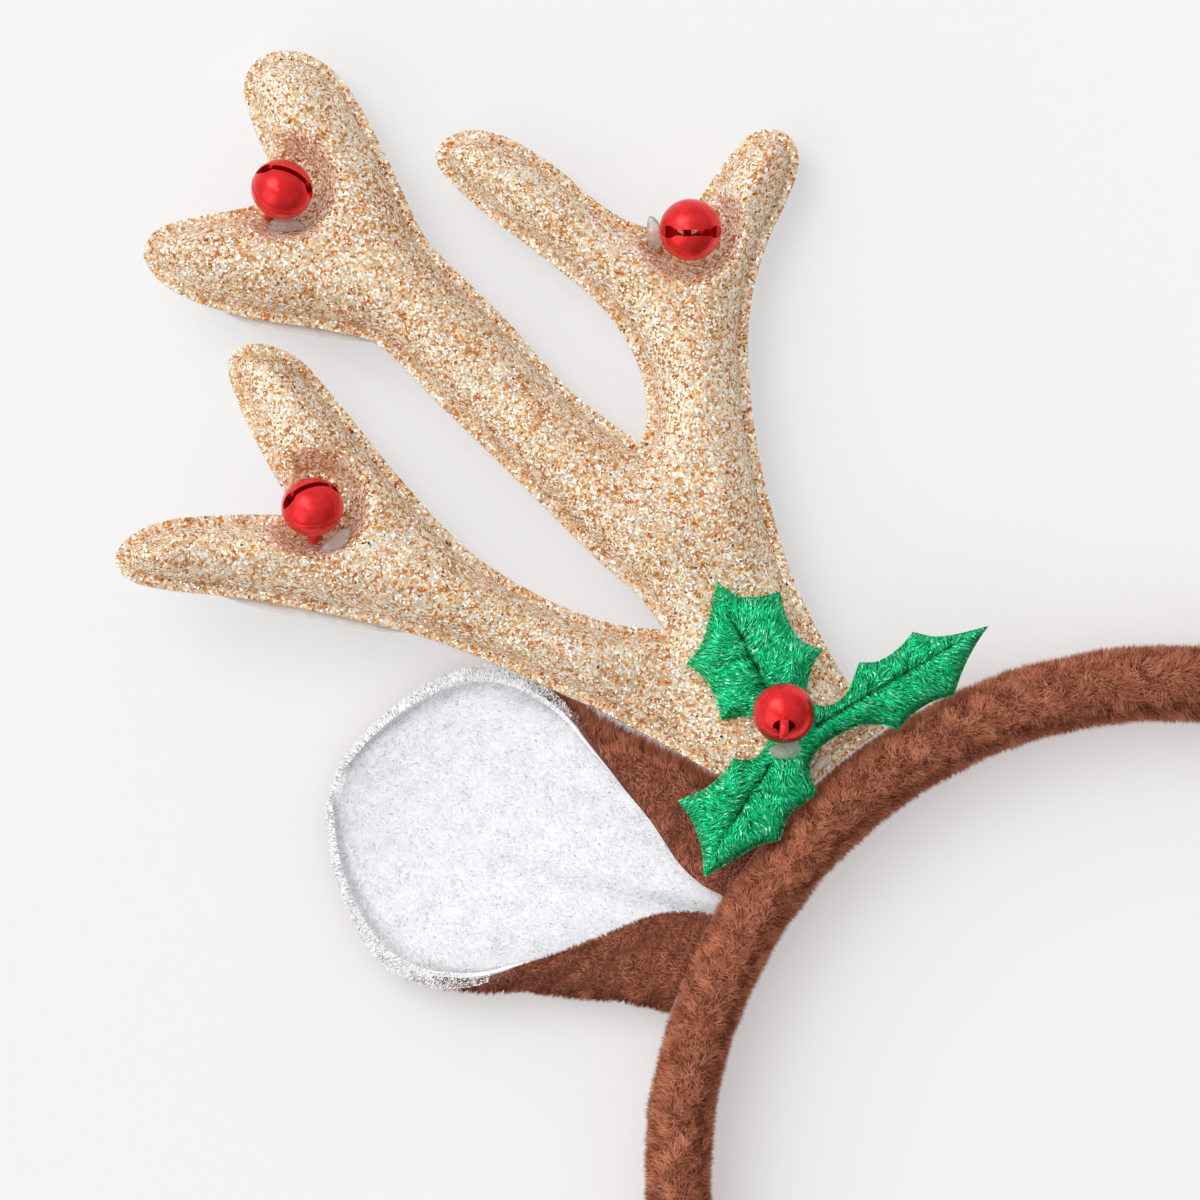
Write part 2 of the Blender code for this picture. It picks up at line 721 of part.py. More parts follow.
def hoop_stations():
    """Outer points of the hoop from one leg tip to the other, with inward normals, sizes and end scale."""
    bend = LEG_LENGTH / LEG_BEND_R
    right = []
    for a in np.linspace(0.0, math.pi / 2, ARC_STATIONS // 2 + 1):
        share = a / (math.pi / 2)
        pad = HOOP_PADDING_TOP + (HOOP_PADDING_SIDE - HOOP_PADDING_TOP) * share
        spot = (HOOP_OUTER_R * math.sin(a), HOOP_OUTER_R * math.cos(a))
        right.append((spot, (-math.sin(a), -math.cos(a)), pad, HOOP_HEIGHT, 1.0))
    bend_x = HOOP_OUTER_R - LEG_BEND_R
    for k in range(1, LEG_STATIONS + 1):
        share = k / LEG_STATIONS
        b = bend * share
        pad = HOOP_PADDING_SIDE + (HOOP_PADDING_TIP - HOOP_PADDING_SIDE) * share
        tall = HOOP_HEIGHT + (HOOP_TIP_HEIGHT - HOOP_HEIGHT) * share
        spot = (bend_x + LEG_BEND_R * math.cos(b), -LEG_BEND_R * math.sin(b))
        right.append((spot, (-math.cos(b), math.sin(b)), pad, tall, 1.0))
    (x, y), (nx, ny), pad, tall, _ = right[-1]
    for a in np.radians((35.0, 62.0, 82.0)):
        ahead = LEG_END_ROUND * math.sin(a)
        spot = (x + ny * -ahead, y + nx * ahead)
        right.append((spot, (nx, ny), pad, tall, math.cos(a)))
    left = [((-x, y), (-nx, ny), p, t, s) for (x, y), (nx, ny), p, t, s in right[:0:-1]]
    return left + right


def hoop_solid():
    points, faces = [], []
    stations = hoop_stations()
    size = len(HOOP_SECTION)
    for (x, y), (nx, ny), pad, tall, scale in stations:
        for across, height in HOOP_SECTION:
            inward = pad / 2 * (1 + across * scale)
            points.append((x + nx * inward, y + ny * inward, tall / 2 * (1 + height * scale)))
    for s in range(len(stations) - 1):
        for k in range(size):
            a, b = s * size + k, s * size + (k + 1) % size
            faces.append((a, a + size, b + size, b))
    faces.append(tuple(range(size)))
    last = (len(stations) - 1) * size
    faces.append(tuple(range(last + size - 1, last - 1, -1)))
    return np.array(points), faces


def holly_points(rows):
    return np.array([(HOLLY_OUT + out * HOLLY_REACH, HOLLY_UP + up * HOLLY_REACH) for out, up, *_ in rows])


def rib_lines():
    return [holly_points([row[:2], row[2:]]) for row in HOLLY_RIBS]


def holly_top(plan, samples):
    depth = distance_to(samples, plan)
    height = HOLLY_THICK + HOLLY_EMBOSS * pillow(depth / HOLLY_FULL_WIDTH)
    for foot, tip in rib_lines():
        line = foot + (tip - foot) * np.linspace(0, 1, 60)[:, None]
        sunk = HOLLY_RIB_DEPTH * np.exp(-((distance_to(line, plan) / HOLLY_RIB_WIDTH) ** 2))
        height = height - sunk * smooth_step(depth, 0.0, HOLLY_FULL_WIDTH / 2)
    return np.column_stack([plan, HOLLY_Z + height])


def holly_solid():
    points = holly_points(HOLLY_OUTLINE)
    samples, corner = fine_outline(points, [row[2] for row in HOLLY_OUTLINE])
    ring = thinned(samples, corner, HOLLY_SAG, HOLLY_LONGEST)
    near = inside_points(samples, samples[::9], HOLLY_NEAR_EDGE, HOLLY_EDGE_SPACING)
    ribs = []
    for foot, tip in rib_lines():
        count = max(3, round(float(np.hypot(*(tip - foot))) / HOLLY_RIB_SPACING))
        ribs += [foot + (tip - foot) * t for t in np.linspace(0.0, 0.88, count)]
    deep = [
        p
        for p in grid_inside(samples, ring, HOLLY_EDGE_SPACING, HOLLY_GRID)
        if min(np.hypot(*(p - rib)) for rib in ribs) > HOLLY_RIB_WIDTH
    ]
    near = [p for p in near if min(np.hypot(*(p - rib)) for rib in ribs) > HOLLY_RIB_WIDTH]
    return padded_slab(
        ring,
        near + ribs + deep,
        [],
        lambda plan: holly_top(plan, samples),
        lambda plan: np.column_stack([plan, np.full(len(plan), HOLLY_Z)]),
    ), samples


def helper(name, bm):
    """A hidden shape that only cuts or joins."""
    mesh = bpy.data.meshes.new(name)
    bm.to_mesh(mesh)
    bm.free()
    obj = bpy.data.objects.new(name, mesh)
    bpy.context.scene.collection.objects.link(obj)
    obj.hide_render = True
    obj.display_type = "WIRE"
    return obj


def ball(radius, half_height, around, rings):
    bm = bmesh.new()
    bmesh.ops.create_uvsphere(bm, u_segments=around, v_segments=rings, radius=radius * MM)
    bmesh.ops.scale(bm, vec=(1, 1, half_height / radius), verts=bm.verts)
    return bm


def loop_ring():
    bm = bmesh.new()
    around, across = 8, 5
    centre_z = -BELL_HALF_HEIGHT - LOOP_R * 0.55
    rows = []
    for i in range(around):
        a = 2 * math.pi * i / around
        row = []
        for j in range(across):
            b = 2 * math.pi * j / across
            r = LOOP_R + LOOP_WIRE_R * math.cos(b)
            spot = (LOOP_WIRE_R * 1.4 * math.sin(b), r * math.sin(a), centre_z + r * math.cos(a))
            row.append(bm.verts.new(Vector(spot) * MM))
        rows.append(row)
    for i in range(around):
        for j in range(across):
            here, there = rows[i], rows[(i + 1) % around]
            k = (j + 1) % across
            bm.faces.new((here[j], there[j], there[k], here[k]))
    bmesh.ops.recalc_face_normals(bm, faces=bm.faces)
    return bm


def bell_mesh():
    """The one bell shape: shell, loop, slot and the two round holes that end the slot."""
    shape = helper("bell_shape", ball(BELL_R, BELL_HALF_HEIGHT, 14, 8))
    loop = helper("bell_loop", loop_ring())
    hollow = helper("bell_hollow", ball(BELL_R - BELL_WALL, BELL_HALF_HEIGHT - BELL_WALL, 8, 5))
    slot = bmesh.new()
    size = (BELL_HOLE_AT * 2, BELL_SLOT, BELL_HALF_HEIGHT * 1.6)
    bmesh.ops.create_cube(slot, size=1.0)
    bmesh.ops.scale(slot, vec=Vector(size) * MM, verts=slot.verts)
    bmesh.ops.translate(slot, vec=Vector((0, 0, BELL_HALF_HEIGHT)) * MM, verts=slot.verts)
    cutters = [hollow, helper("bell_slot", slot)]
    for side in (-1, 1):
        hole = bmesh.new()
        bmesh.ops.create_cone(
            hole,
            cap_ends=True,
            segments=8,
            radius1=BELL_HOLE_R * MM,
            radius2=BELL_HOLE_R * MM,
            depth=BELL_HALF_HEIGHT * 1.6 * MM,
        )
        spot = Vector((side * BELL_HOLE_AT, 0, BELL_HALF_HEIGHT * 0.98)) * MM
        bmesh.ops.translate(hole, vec=spot, verts=hole.verts)
        cutters.append(helper("bell_hole_%d" % (side + 1), hole))
    for other, operation in [(loop, "UNION")] + [(c, "DIFFERENCE") for c in cutters]:
        modifier = shape.modifiers.new(other.name, "BOOLEAN")
        modifier.operation = operation
        modifier.solver = "EXACT"
        modifier.object = other
    bpy.context.view_layer.update()
    graph = bpy.context.evaluated_depsgraph_get()
    mesh = bpy.data.meshes.new_from_object(shape.evaluated_get(graph))
    for obj in [shape, loop] + cutters:
        bpy.data.objects.remove(obj, do_unlink=True)
    points = np.array([v.co for v in mesh.vertices]) / MM
    return points, [tuple(p.vertices) for p in mesh.polygons]


def bell_turn(heading, lift, spin):
    """Turn that aims the slot end at a heading in plan and a lift from level."""
    heading, lift = math.radians(heading), math.radians(lift)
    aim = Vector((math.cos(lift) * math.cos(heading), math.cos(lift) * math.sin(heading), math.sin(lift)))
    across = Vector((-math.sin(heading), math.cos(heading), 0.0))
    turn = Matrix((across, aim.cross(across), aim)).transposed()
    return np.array(turn @ Matrix.Rotation(math.radians(spin), 3, "Z"))


def glue_solid(spot, heading):
    bm = ball(1.0, 1.0, 8, 5)
    points = np.array([v.co for v in bm.verts]) / MM
    points = points * (GLUE_HALF_LENGTH, GLUE_HALF_WIDTH, GLUE_HALF_HEIGHT)
    faces = [tuple(v.index for v in face.verts) for face in bm.faces]
    bm.free()
    c, s = math.cos(heading), math.sin(heading)
    turned = points @ np.array(((c, s, 0), (-s, c, 0), (0, 0, 1)))
    return turned + spot, faces


def one_side():
    """Every sub-part of one side: name, look, points, faces, centre and smoothing angle."""
    found = []
    (front, backing) = antler_solids()
    root = (ROOT_OUT, ROOT_UP, ANTLER_Z)
    found.append(("antler", "champagne_glitter", *front, root, 50.0))
    found.append(("antler_backing", "white_backing", *backing, root, 40.0))
    ear_root = (EAR_OUT, EAR_UP, EAR_CLEAR_OF_FLOOR)
    back = ear_sheet(-GAP - EAR_BACK_THICK, -GAP)
    lining = ear_sheet(0.0, EAR_LINING_THICK)
    found.append(("ear_back", "brown_plush", *back, ear_root, 60.0))
    found.append(("ear_lining", "white_pile", *lining, ear_root, 60.0))
    holly, holly_samples = holly_solid()
    holly_spot = (HOLLY_OUT, HOLLY_UP, HOLLY_Z)
    found.append(("holly", "green_foil", *holly, holly_spot, 30.0))

    bell, bell_faces = bell_mesh()
    samples, _ = antler_outline()
    for (name, _, _, seat, heading, lift, spin, glue_out, glue_up), place in zip(BELLS, bell_places()):
        plan = np.array([place])
        glue_plan = plan + BELL_R * np.array((glue_out, glue_up))
        glue_heading = math.atan2(glue_out, -glue_up)
        lengthwise = np.array((math.cos(glue_heading), math.sin(glue_heading)))
        crosswise = np.array((-lengthwise[1], lengthwise[0]))
        under_glue = glue_plan + np.array(
            [
                lengthwise * GLUE_HALF_LENGTH * along + crosswise * GLUE_HALF_WIDTH * across
                for along, across in GLUE_FOOTPRINT
            ]
        )
        if name == "holly":
            z = holly_top(plan, holly_samples)[0, 2] + BELL_R * (1 + seat)
            glue_z = holly_top(under_glue, holly_samples)[:, 2].max()
        else:
            z = off_middle(plan, np.array([HALF_GAP + RIM_THICK + BELL_R * (1 + seat)]))[0, 2]
            glue_z = off_middle(under_glue, front_height(under_glue, samples))[:, 2].max()
        spot = np.array((place[0], place[1], z))
        turned = bell @ bell_turn(heading, lift, spin).T + spot
        found.append(("bell_" + name, "red_metal", turned, bell_faces, spot, 35.0))
        glue_spot = np.array((*glue_plan[0], glue_z + 2 * GAP + GLUE_HALF_HEIGHT))
        blob = glue_solid(glue_spot, glue_heading)
        found.append(("glue_" + name, "clear_glue", *blob, glue_spot, 60.0))
    foot_deg = ROOT_DEG + math.degrees((FOOT_BELOW_ROOT - FOOT_ABOVE_ROOT) / 2 / (HOOP_OUTER_R + GAP))
    foot_plan = on_hoop(foot_deg, ROOT_GLUE_BEYOND_HOOP)
    foot_spot = np.array((*foot_plan, HOLLY_Z - GAP - GLUE_HALF_HEIGHT))
    root_glue = glue_solid(foot_spot, -math.radians(foot_deg))
    found.append(("glue_root", "clear_glue", *root_glue, foot_spot, 60.0))
    return found


def main():
    clear_scene()
    stations = hoop_stations()
    leg_tip = min(y for (x, y), *_ in stations)
    outline_top = antler_outline()[0][:, 1].max()
    middle_y = (leg_tip + outline_top) / 2
    base = bpy.data.objects.new("headband_base", None)
    bpy.context.scene.collection.objects.link(base)
    base.location = Vector((0, -middle_y, 0)) * MM
    parts = [add_solid("band", "brown_plush", *hoop_solid(), (0, 0, 0), 60.0)]
    for name, look, points, faces, centre, smooth_deg in one_side():
        for side, sign in (("left", -1), ("right", 1)):
            flip = np.array((sign, 1, 1))
            full = name + "_" + side
            parts.append(add_solid(full, look, points * flip, faces, np.array(centre) * flip, smooth_deg))
    for obj in parts:
        obj.parent = base


main()
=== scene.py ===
import math
from collections import namedtuple

import bmesh
import bpy
import numpy as np
from mathutils import Matrix, Vector
from mathutils.geometry import delaunay_2d_cdt


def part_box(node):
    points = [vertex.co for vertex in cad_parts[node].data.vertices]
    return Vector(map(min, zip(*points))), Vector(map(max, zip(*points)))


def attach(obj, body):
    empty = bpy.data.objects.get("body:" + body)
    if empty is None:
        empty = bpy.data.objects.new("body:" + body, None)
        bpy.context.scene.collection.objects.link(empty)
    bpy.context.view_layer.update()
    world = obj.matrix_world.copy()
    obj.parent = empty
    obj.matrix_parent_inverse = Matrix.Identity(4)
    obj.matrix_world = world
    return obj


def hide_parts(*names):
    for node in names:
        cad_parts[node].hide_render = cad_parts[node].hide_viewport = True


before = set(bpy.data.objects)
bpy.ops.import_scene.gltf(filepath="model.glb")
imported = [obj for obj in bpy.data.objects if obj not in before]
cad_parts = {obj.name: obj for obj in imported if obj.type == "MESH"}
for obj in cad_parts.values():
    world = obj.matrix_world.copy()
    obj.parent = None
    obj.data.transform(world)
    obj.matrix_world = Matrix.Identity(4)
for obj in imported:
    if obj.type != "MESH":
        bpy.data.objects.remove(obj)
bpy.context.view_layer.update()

MM = 0.001  # lengths below are in mm until a mesh is written
GAP = 0.3
HALF_GAP = GAP / 2
CURVE = 0
CORNER = 1
FAR = 1e9

# Hoop and band
HOOP_OUTER_R = 70.7
HOOP_HEIGHT = 14.0
HOOP_PADDING_TOP = 10.2
HOOP_PADDING_SIDE = 8.8
HOOP_PADDING_TIP = 7.4
HOOP_TIP_HEIGHT = 11.5
LEG_BEND_R = 160.0
LEG_LENGTH = 66.0
LEG_END_ROUND = 5.0
HOOP_STEPS = 96
LEG_STEPS = 56
LEG_END_DEGREES = np.linspace(10, 88, 9)
SECTION_STEPS = 68
SEAM_AT = (0.74, 0.66)
BAND_PILE = 0.85
BAND_FIBRES = 345000
BAND_FIBRE_LENGTH = 1.25
BAND_BUMPS = 0.12
BAND_STREAKS = 0.16
UNDER_SEAM_COLUMNS = 7
UNDER_SEAM_SHADE = 0.95
MIDDLE_Y = HOOP_OUTER_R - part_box("band")[1][1] / MM

# Antler and its backing
ROOT_DEG = 37.1
ROOT_BEYOND_HOOP = -0.5
ANTLER_REACH = 98.7
ANTLER_RISE = 93.9
FOOT_BELOW_ROOT = 13.26
FOOT_ABOVE_ROOT = 4.96
RIM_WIDTH = 1.4
RIM_THICK = 0.9
RIM_GROOVE = 0.08
RIM_GROOVE_AT = 0.92
RIM_GROOVE_HALF_WIDTH = 0.28
FRONT_WAVES = 0.16
FRONT_EDGE_DROP = 0.14
FRONT_EDGE_WIDTH = 0.25
PUFF = 5.2
PUFF_AT_ROOT = 2.4
PUFF_FULL_WIDTH = 5.6
PUFF_RAMP_FROM = 24.0
PUFF_RAMP_TO = 40.0
ANTLER_ROWS = (0.35, 0.75, 1.05, 1.3, 1.55, 1.9, 2.4, 3.0)
BACKING_THICK = 1.0
BACKING_BULGE = 1.3
BACKING_INSET = 0.45
BACKING_WAVES = 0.05
ANTLER_Z = 8.3
LONG_AXIS = (0.627, 0.779)
DROOP_ALONG = 0.02
RISE_LOW_SIDE = 0.158
RISE_TOP_SIDE = 0.06
RISE_FROM = 8.0
RISE_BLEND = 5.0

# Ear
EAR_DEG = 59.74
EAR_BEYOND_HOOP = 0.73
EAR_INTO_PLUSH = 0.1
EAR_AXIS = (0.954, 0.30)
EAR_LENGTH = 52.5
EAR_HALF_WIDTH = 22.2
EAR_FOLD_R = 1.9
EAR_BACK_THICK = 1.5
EAR_LINING_THICK = 1.0
EAR_CLEAR_OF_FLOOR = 0.6
EAR_FOLLOWS_HOOP = 16.0
EAR_PILE = 0.45
EAR_FIBRES = 66000
EAR_FIBRE_LENGTH = 0.85
EAR_FRINGE = 0.9
EAR_SHADE = 0.90
EAR_PATCHES = 0.22
EAR_LOW_HALF_SHADE = 0.74
BROWN_UNTIL = 0.47
BROWN_RAGGED = 0.13
EDGE_UNTIL = 0.45
EDGE_FIBRES = 1300
EDGE_FIBRE_LENGTH = 0.6
LINING_PILE = 0.7
LINING_FIBRES = 86000
LINING_FIBRE_LENGTH = 0.7
LINING_LIGHT = 1.06
PLEAT_SHADE = 0.42
RIM_FROM = 0.42
RIM_FADES_OVER = 0.26
RIM_SIDE_FIBRES = 9500
RIM_TIP_FIBRES = 7000
RIM_FIBRE_LENGTH = 0.62
# Painted light on the lining's rim: RIM_LIGHT brightens its fibres, and RIM_TONE lifts their colour to the
# ramp's lightest and marks them for extra glow.
RIM_LIGHT = 1.2
RIM_TONE = 2.0  # added to the tone of the rim's fibres, which plush_material tells apart by it

# Pile: shares of a fibre's tone at its root and tip, the darker root being painted shade among the fibres,
# then how each pile lies.
# The lean is along and across the surface, and pull is the share of the way to the middle of the tuft.
PAINTED_ROOT_SHADE = 0.36
TIP_TONE = 0.86
BAND_LIE = dict(lean=(0.5, 0.1), width=0.13, clump=0.8, pull=0.6, seed=21, curl=0.42, swirl=0.45)
EAR_LIE = dict(lean=(0.55, 0.35), width=0.13, clump=0.85, pull=0.55, seed=61, curl=0.34, swirl=0.45)
EDGE_LIE = dict(lean=(0.2, 0.0), width=0.12, clump=0.9, pull=0.4, seed=71, curl=0.25, swirl=0.45)
LINING_LIE = dict(lean=(0.6, 0.1), width=0.15, clump=1.0, pull=0.06, seed=91, curl=0.14, swirl=0.12)
RIM_LIE = dict(lean=(0.0, 0.0), width=0.19, clump=1.3, pull=0.1, seed=95, curl=0.16, swirl=0.1)

# Holly
HOLLY_DEG = 40.33
HOLLY_BEYOND_HOOP = 10.1
HOLLY_REACH = 29.6
HOLLY_Z = 13.0
HOLLY_THICK = 0.8
HOLLY_EMBOSS = 1.2
HOLLY_FULL_WIDTH = 2.6
HOLLY_EDGE_DROP = 0.25
HOLLY_WAVES = 0.10
HOLLY_ROWS = (0.2, 0.4, 0.65, 0.95)
STROKE_FAN_DEG = 52.0
STROKES_ALONG = 900.0
STROKES_ACROSS = 5200.0

# Bells and glue
BELL_R = 4.15
BELL_HALF_HEIGHT = 3.8
BELL_WALL = 0.6
BELL_SLOT = 0.9
BELL_HOLE_R = 0.85
BELL_HOLE_AT = 3.2
BELL_CUT_DEPTH = BELL_HALF_HEIGHT * 1.6
BELL_JOINT = 0.09
BELL_JOINT_SPREAD = 0.03
BELL_JOINT_CLEAR = 0.07
BELL_JOINT_ANGLES = [-0.05, -0.028, 0.0, 0.028, 0.05]
BELL_EYE = (1.5, 1.05, 1.0)
LOOP_R = 1.15
LOOP_WIRE_R = 0.42
LOOP_WIRE_WIDENED = 1.4
LOOP_DROP = 0.55
SEAT_FLAT = 0.95
SEAT_REACH = 1.9
GLUE_HALF_LENGTH = 2.3
GLUE_HALF_WIDTH = 0.9
GLUE_HALF_HEIGHT = 0.5
GLUE_SPREAD = 1.15
ROOT_GLUE_BEYOND_HOOP = 1.6
ROOT_GLUE_SIZE = 0.62

# Columns: across (-1 outer face to 1 inner face), height (-1 floor to 1 top).
HOOP_SECTION = (
    (-0.45, -1.00), (0.45, -1.00), (0.80, -0.80), (0.96, -0.44), (1.00, 0.00), (0.97, 0.36),
    (0.86, 0.66), (0.72, 0.62), (0.63, 0.84), (0.40, 0.94), (0.00, 1.00), (-0.40, 0.94),
    (-0.74, 0.72), (-0.94, 0.38), (-1.00, 0.00), (-0.95, -0.42), (-0.78, -0.80),
)

# Columns: outward share of ANTLER_REACH, up share of ANTLER_RISE, kind of point.
ANTLER_OUTLINE = (
    (0.014, 0.102, CURVE), (0.080, 0.232, CURVE), (0.113, 0.334, CURVE), (0.137, 0.447, CURVE),
    (0.148, 0.572, CURVE), (0.142, 0.653, CURVE), (0.121, 0.729, CURVE), (0.092, 0.795, CURVE),
    (0.079, 0.845, CURVE), (0.095, 0.881, CURVE), (0.128, 0.888, CURVE), (0.156, 0.871, CURVE),
    (0.192, 0.822, CURVE), (0.217, 0.784, CURVE), (0.238, 0.757, CURVE), (0.274, 0.747, CURVE),
    (0.332, 0.770, CURVE), (0.409, 0.835, CURVE), (0.472, 0.876, CURVE), (0.522, 0.887, CURVE),
    (0.560, 0.871, CURVE), (0.569, 0.842, CURVE), (0.524, 0.787, CURVE), (0.425, 0.706, CURVE),
    (0.348, 0.638, CURVE), (0.298, 0.558, CURVE), (0.284, 0.483, CURVE), (0.294, 0.442, CORNER),
    (0.386, 0.514, CURVE), (0.476, 0.618, CURVE), (0.548, 0.692, CURVE), (0.586, 0.737, CURVE),
    (0.632, 0.838, CURVE), (0.683, 0.939, CURVE), (0.719, 0.980, CURVE), (0.763, 1.000, CURVE),
    (0.807, 0.990, CURVE), (0.829, 0.953, CURVE), (0.819, 0.901, CURVE), (0.794, 0.838, CURVE),
    (0.775, 0.793, CORNER), (0.834, 0.774, CURVE), (0.915, 0.757, CURVE), (0.953, 0.737, CURVE),
    (0.963, 0.703, CURVE), (0.926, 0.659, CURVE), (0.834, 0.622, CURVE), (0.713, 0.601, CURVE),
    (0.648, 0.581, CURVE), (0.578, 0.510, CURVE), (0.456, 0.385, CURVE), (0.348, 0.273, CURVE),
    (0.294, 0.223, CURVE), (0.260, 0.176, CORNER), (0.334, 0.186, CURVE), (0.429, 0.224, CURVE),
    (0.524, 0.287, CURVE), (0.611, 0.382, CURVE), (0.703, 0.500, CURVE), (0.760, 0.564, CURVE),
    (0.815, 0.582, CURVE), (0.848, 0.561, CURVE), (0.837, 0.501, CURVE), (0.794, 0.409, CURVE),
    (0.755, 0.339, CORNER), (0.848, 0.339, CURVE), (0.936, 0.330, CURVE), (0.986, 0.304, CURVE),
    (0.999, 0.268, CURVE), (0.963, 0.240, CURVE), (0.834, 0.222, CURVE), (0.699, 0.196, CURVE),
    (0.556, 0.156, CURVE), (0.361, 0.068, CURVE), (0.280, 0.024, CURVE), (0.190, -0.030, CURVE),
)

# Columns: outward share, up share, spread as a share of ANTLER_REACH, overhang as a share of RIM_WIDTH.
BACKING_SHOWS = ((0.753, 0.615, 0.091, 0.643), (0.733, 0.203, 0.111, 0.714))

# Columns: share of EAR_LENGTH, fold centre, fold radius, turn in degrees, length past the fold, lift.
# The centre and the length are shares of EAR_HALF_WIDTH, the radius and the lift of EAR_FOLD_R.
EAR_STATIONS = (
    (0.000, 0.534, 1.00, 180, 0.465, 0.0),
    (0.063, 0.543, 1.00, 180, 0.445, 0.0),
    (0.133, 0.556, 1.00, 180, 0.378, 0.0),
    (0.240, 0.615, 1.00, 180, 0.225, 0.0),
    (0.328, 0.642, 1.10, 172, 0.110, 0.0),
    (0.419, 0.678, 1.20, 150, 0.045, 0.0),
    (0.501, 0.732, 1.37, 118, 0.030, 0.0),
    (0.571, 0.750, 1.58, 92, 0.022, 0.0),
    (0.648, 0.761, 1.84, 75, 0.022, 0.0),
    (0.762, 0.716, 1.84, 60, 0.022, 0.10),
    (0.865, 0.529, 1.84, 50, 0.022, 0.42),
    (0.952, 0.266, 1.58, 45, 0.022, 0.95),
    (1.000, 0.030, 1.32, 42, 0.022, 1.47),
)

# Columns: outward share of HOLLY_REACH, up share of HOLLY_REACH, kind of point.
HOLLY_OUTLINE = (
    (0.298, 0.591, CORNER), (0.203, 0.528, CURVE), (0.104, 0.525, CURVE), (0.014, 0.546, CORNER),
    (-0.014, 0.433, CURVE), (-0.077, 0.329, CURVE), (-0.176, 0.284, CORNER), (-0.131, 0.207, CURVE),
    (-0.095, 0.063, CORNER), (-0.185, 0.032, CURVE), (-0.275, 0.079, CURVE), (-0.340, 0.228, CORNER),
    (-0.424, 0.234, CURVE), (-0.514, 0.289, CURVE), (-0.583, 0.365, CORNER), (-0.676, 0.345, CURVE),
    (-0.780, 0.356, CURVE), (-0.922, 0.392, CORNER), (-0.861, 0.302, CURVE), (-0.807, 0.194, CURVE),
    (-0.766, 0.079, CORNER), (-0.672, 0.052, CURVE), (-0.582, -0.005, CURVE), (-0.514, -0.077, CORNER),
    (-0.446, -0.054, CURVE), (-0.347, -0.056, CURVE), (-0.248, -0.099, CURVE), (-0.162, -0.162, CURVE),
    (-0.119, -0.239, CURVE), (-0.153, -0.359, CORNER), (-0.090, -0.410, CURVE), (-0.027, -0.464, CURVE),
    (0.014, -0.573, CORNER), (0.108, -0.595, CURVE), (0.225, -0.663, CURVE), (0.358, -0.739, CORNER),
    (0.365, -0.627, CURVE), (0.406, -0.496, CURVE), (0.473, -0.392, CORNER), (0.361, -0.343, CURVE),
    (0.275, -0.275, CURVE), (0.225, -0.205, CORNER), (0.131, -0.203, CURVE), (0.059, -0.113, CORNER),
    (0.140, -0.020, CURVE), (0.280, -0.032, CORNER), (0.302, 0.059, CURVE), (0.365, 0.167, CURVE),
    (0.437, 0.221, CORNER), (0.370, 0.307, CURVE), (0.329, 0.451, CURVE),
)

# Grooves pressed into the leaves: a midrib each, then side veins.
# Columns: start and end as outward and up shares of HOLLY_REACH, depth mm, half width mm.
HOLLY_VEINS = (
    (0.060, 0.080, 0.240, 0.440, 0.42, 0.22),
    (-0.140, -0.060, -0.800, 0.330, 0.42, 0.22),
    (0.060, -0.230, 0.290, -0.590, 0.42, 0.22),
    (0.190, 0.330, 0.115, 0.400, 0.30, 0.18),
    (0.125, 0.205, 0.010, 0.150, 0.30, 0.18),
    (0.150, 0.250, 0.300, 0.225, 0.30, 0.18),
    (-0.385, 0.085, -0.365, 0.170, 0.30, 0.18),
    (-0.560, 0.185, -0.560, 0.270, 0.30, 0.18),
    (-0.350, 0.060, -0.500, 0.010, 0.30, 0.18),
    (-0.540, 0.175, -0.690, 0.130, 0.30, 0.18),
    (0.130, -0.345, -0.010, -0.375, 0.30, 0.18),
    (0.190, -0.440, 0.120, -0.520, 0.30, 0.18),
    (0.155, -0.390, 0.300, -0.350, 0.30, 0.18),
)

# Columns: name, place as in ANTLER_OUTLINE, heading, lift and spin of the slot's end in degrees,
# glue offset as outward and up shares of BELL_R.
BELLS = (
    ("top", 0.776, 0.801, 119, 46, -6, -0.072, -1.133),
    ("inner", 0.226, 0.744, 232, 80, 38, 1.181, -0.096),
    ("low", 0.734, 0.351, 90, 40, -20, -0.771, -1.108),
    ("holly", 0.101, 0.060, 90, -62, 0, -0.096, -1.205),
)


WHITE = (1.0, 1.0, 1.0, 1.0)
BROWN_TINTS = ((0.12, 0.034, 0.018), (0.57, 0.185, 0.095), (0.84, 0.38, 0.235))
WHITE_TINTS = ((0.78, 0.78, 0.83), (0.94, 0.94, 0.96), (0.98, 0.98, 0.99))
# Painted shade in the veins' grooves.
FOIL_VEIN_SHADE = (0.0, 0.035, 0.012, 1.0)

# Columns: place on the ramp, colour.
GLITTER_TINTS = (
    (0.30, (0.44, 0.12, 0.02)),
    (0.41, (0.66, 0.26, 0.06)),
    (0.46, (0.78, 0.48, 0.22)),
    (0.51, (0.88, 0.67, 0.42)),
    (0.62, (0.96, 0.81, 0.60)),
    (0.76, (1.0, 0.97, 0.92)),
)
# The strokes' colours run from near black to near white green: painted dark reflections and painted glints.
FOIL_GLINT_TINTS = (
    (0.32, (0.0, 0.06, 0.02)),
    (0.44, (0.0, 0.40, 0.13)),
    (0.55, (0.006, 0.60, 0.21)),
    (0.63, (0.06, 0.80, 0.40)),
    (0.71, (0.85, 1.0, 0.90)),
)

# Columns: name, direction in plan, lift in degrees, energy, width in degrees.
SUNS = (
    ("key_light", (-0.72, 0.69), 50, 0.86, 34),
    ("fill_light", (-0.85, -0.52), 36, 0.40, 50),
    ("spark_light", (-0.45, 0.25), 62, 0.12, 3),
)
FLOOR_GLOW = 0.345
AIR_STRENGTH = 0.50
AIR_GRADE = 0.42


def on_hoop(degrees, beyond):
    angle = math.radians(degrees)
    return (HOOP_OUTER_R + beyond) * math.sin(angle), (HOOP_OUTER_R + beyond) * math.cos(angle)


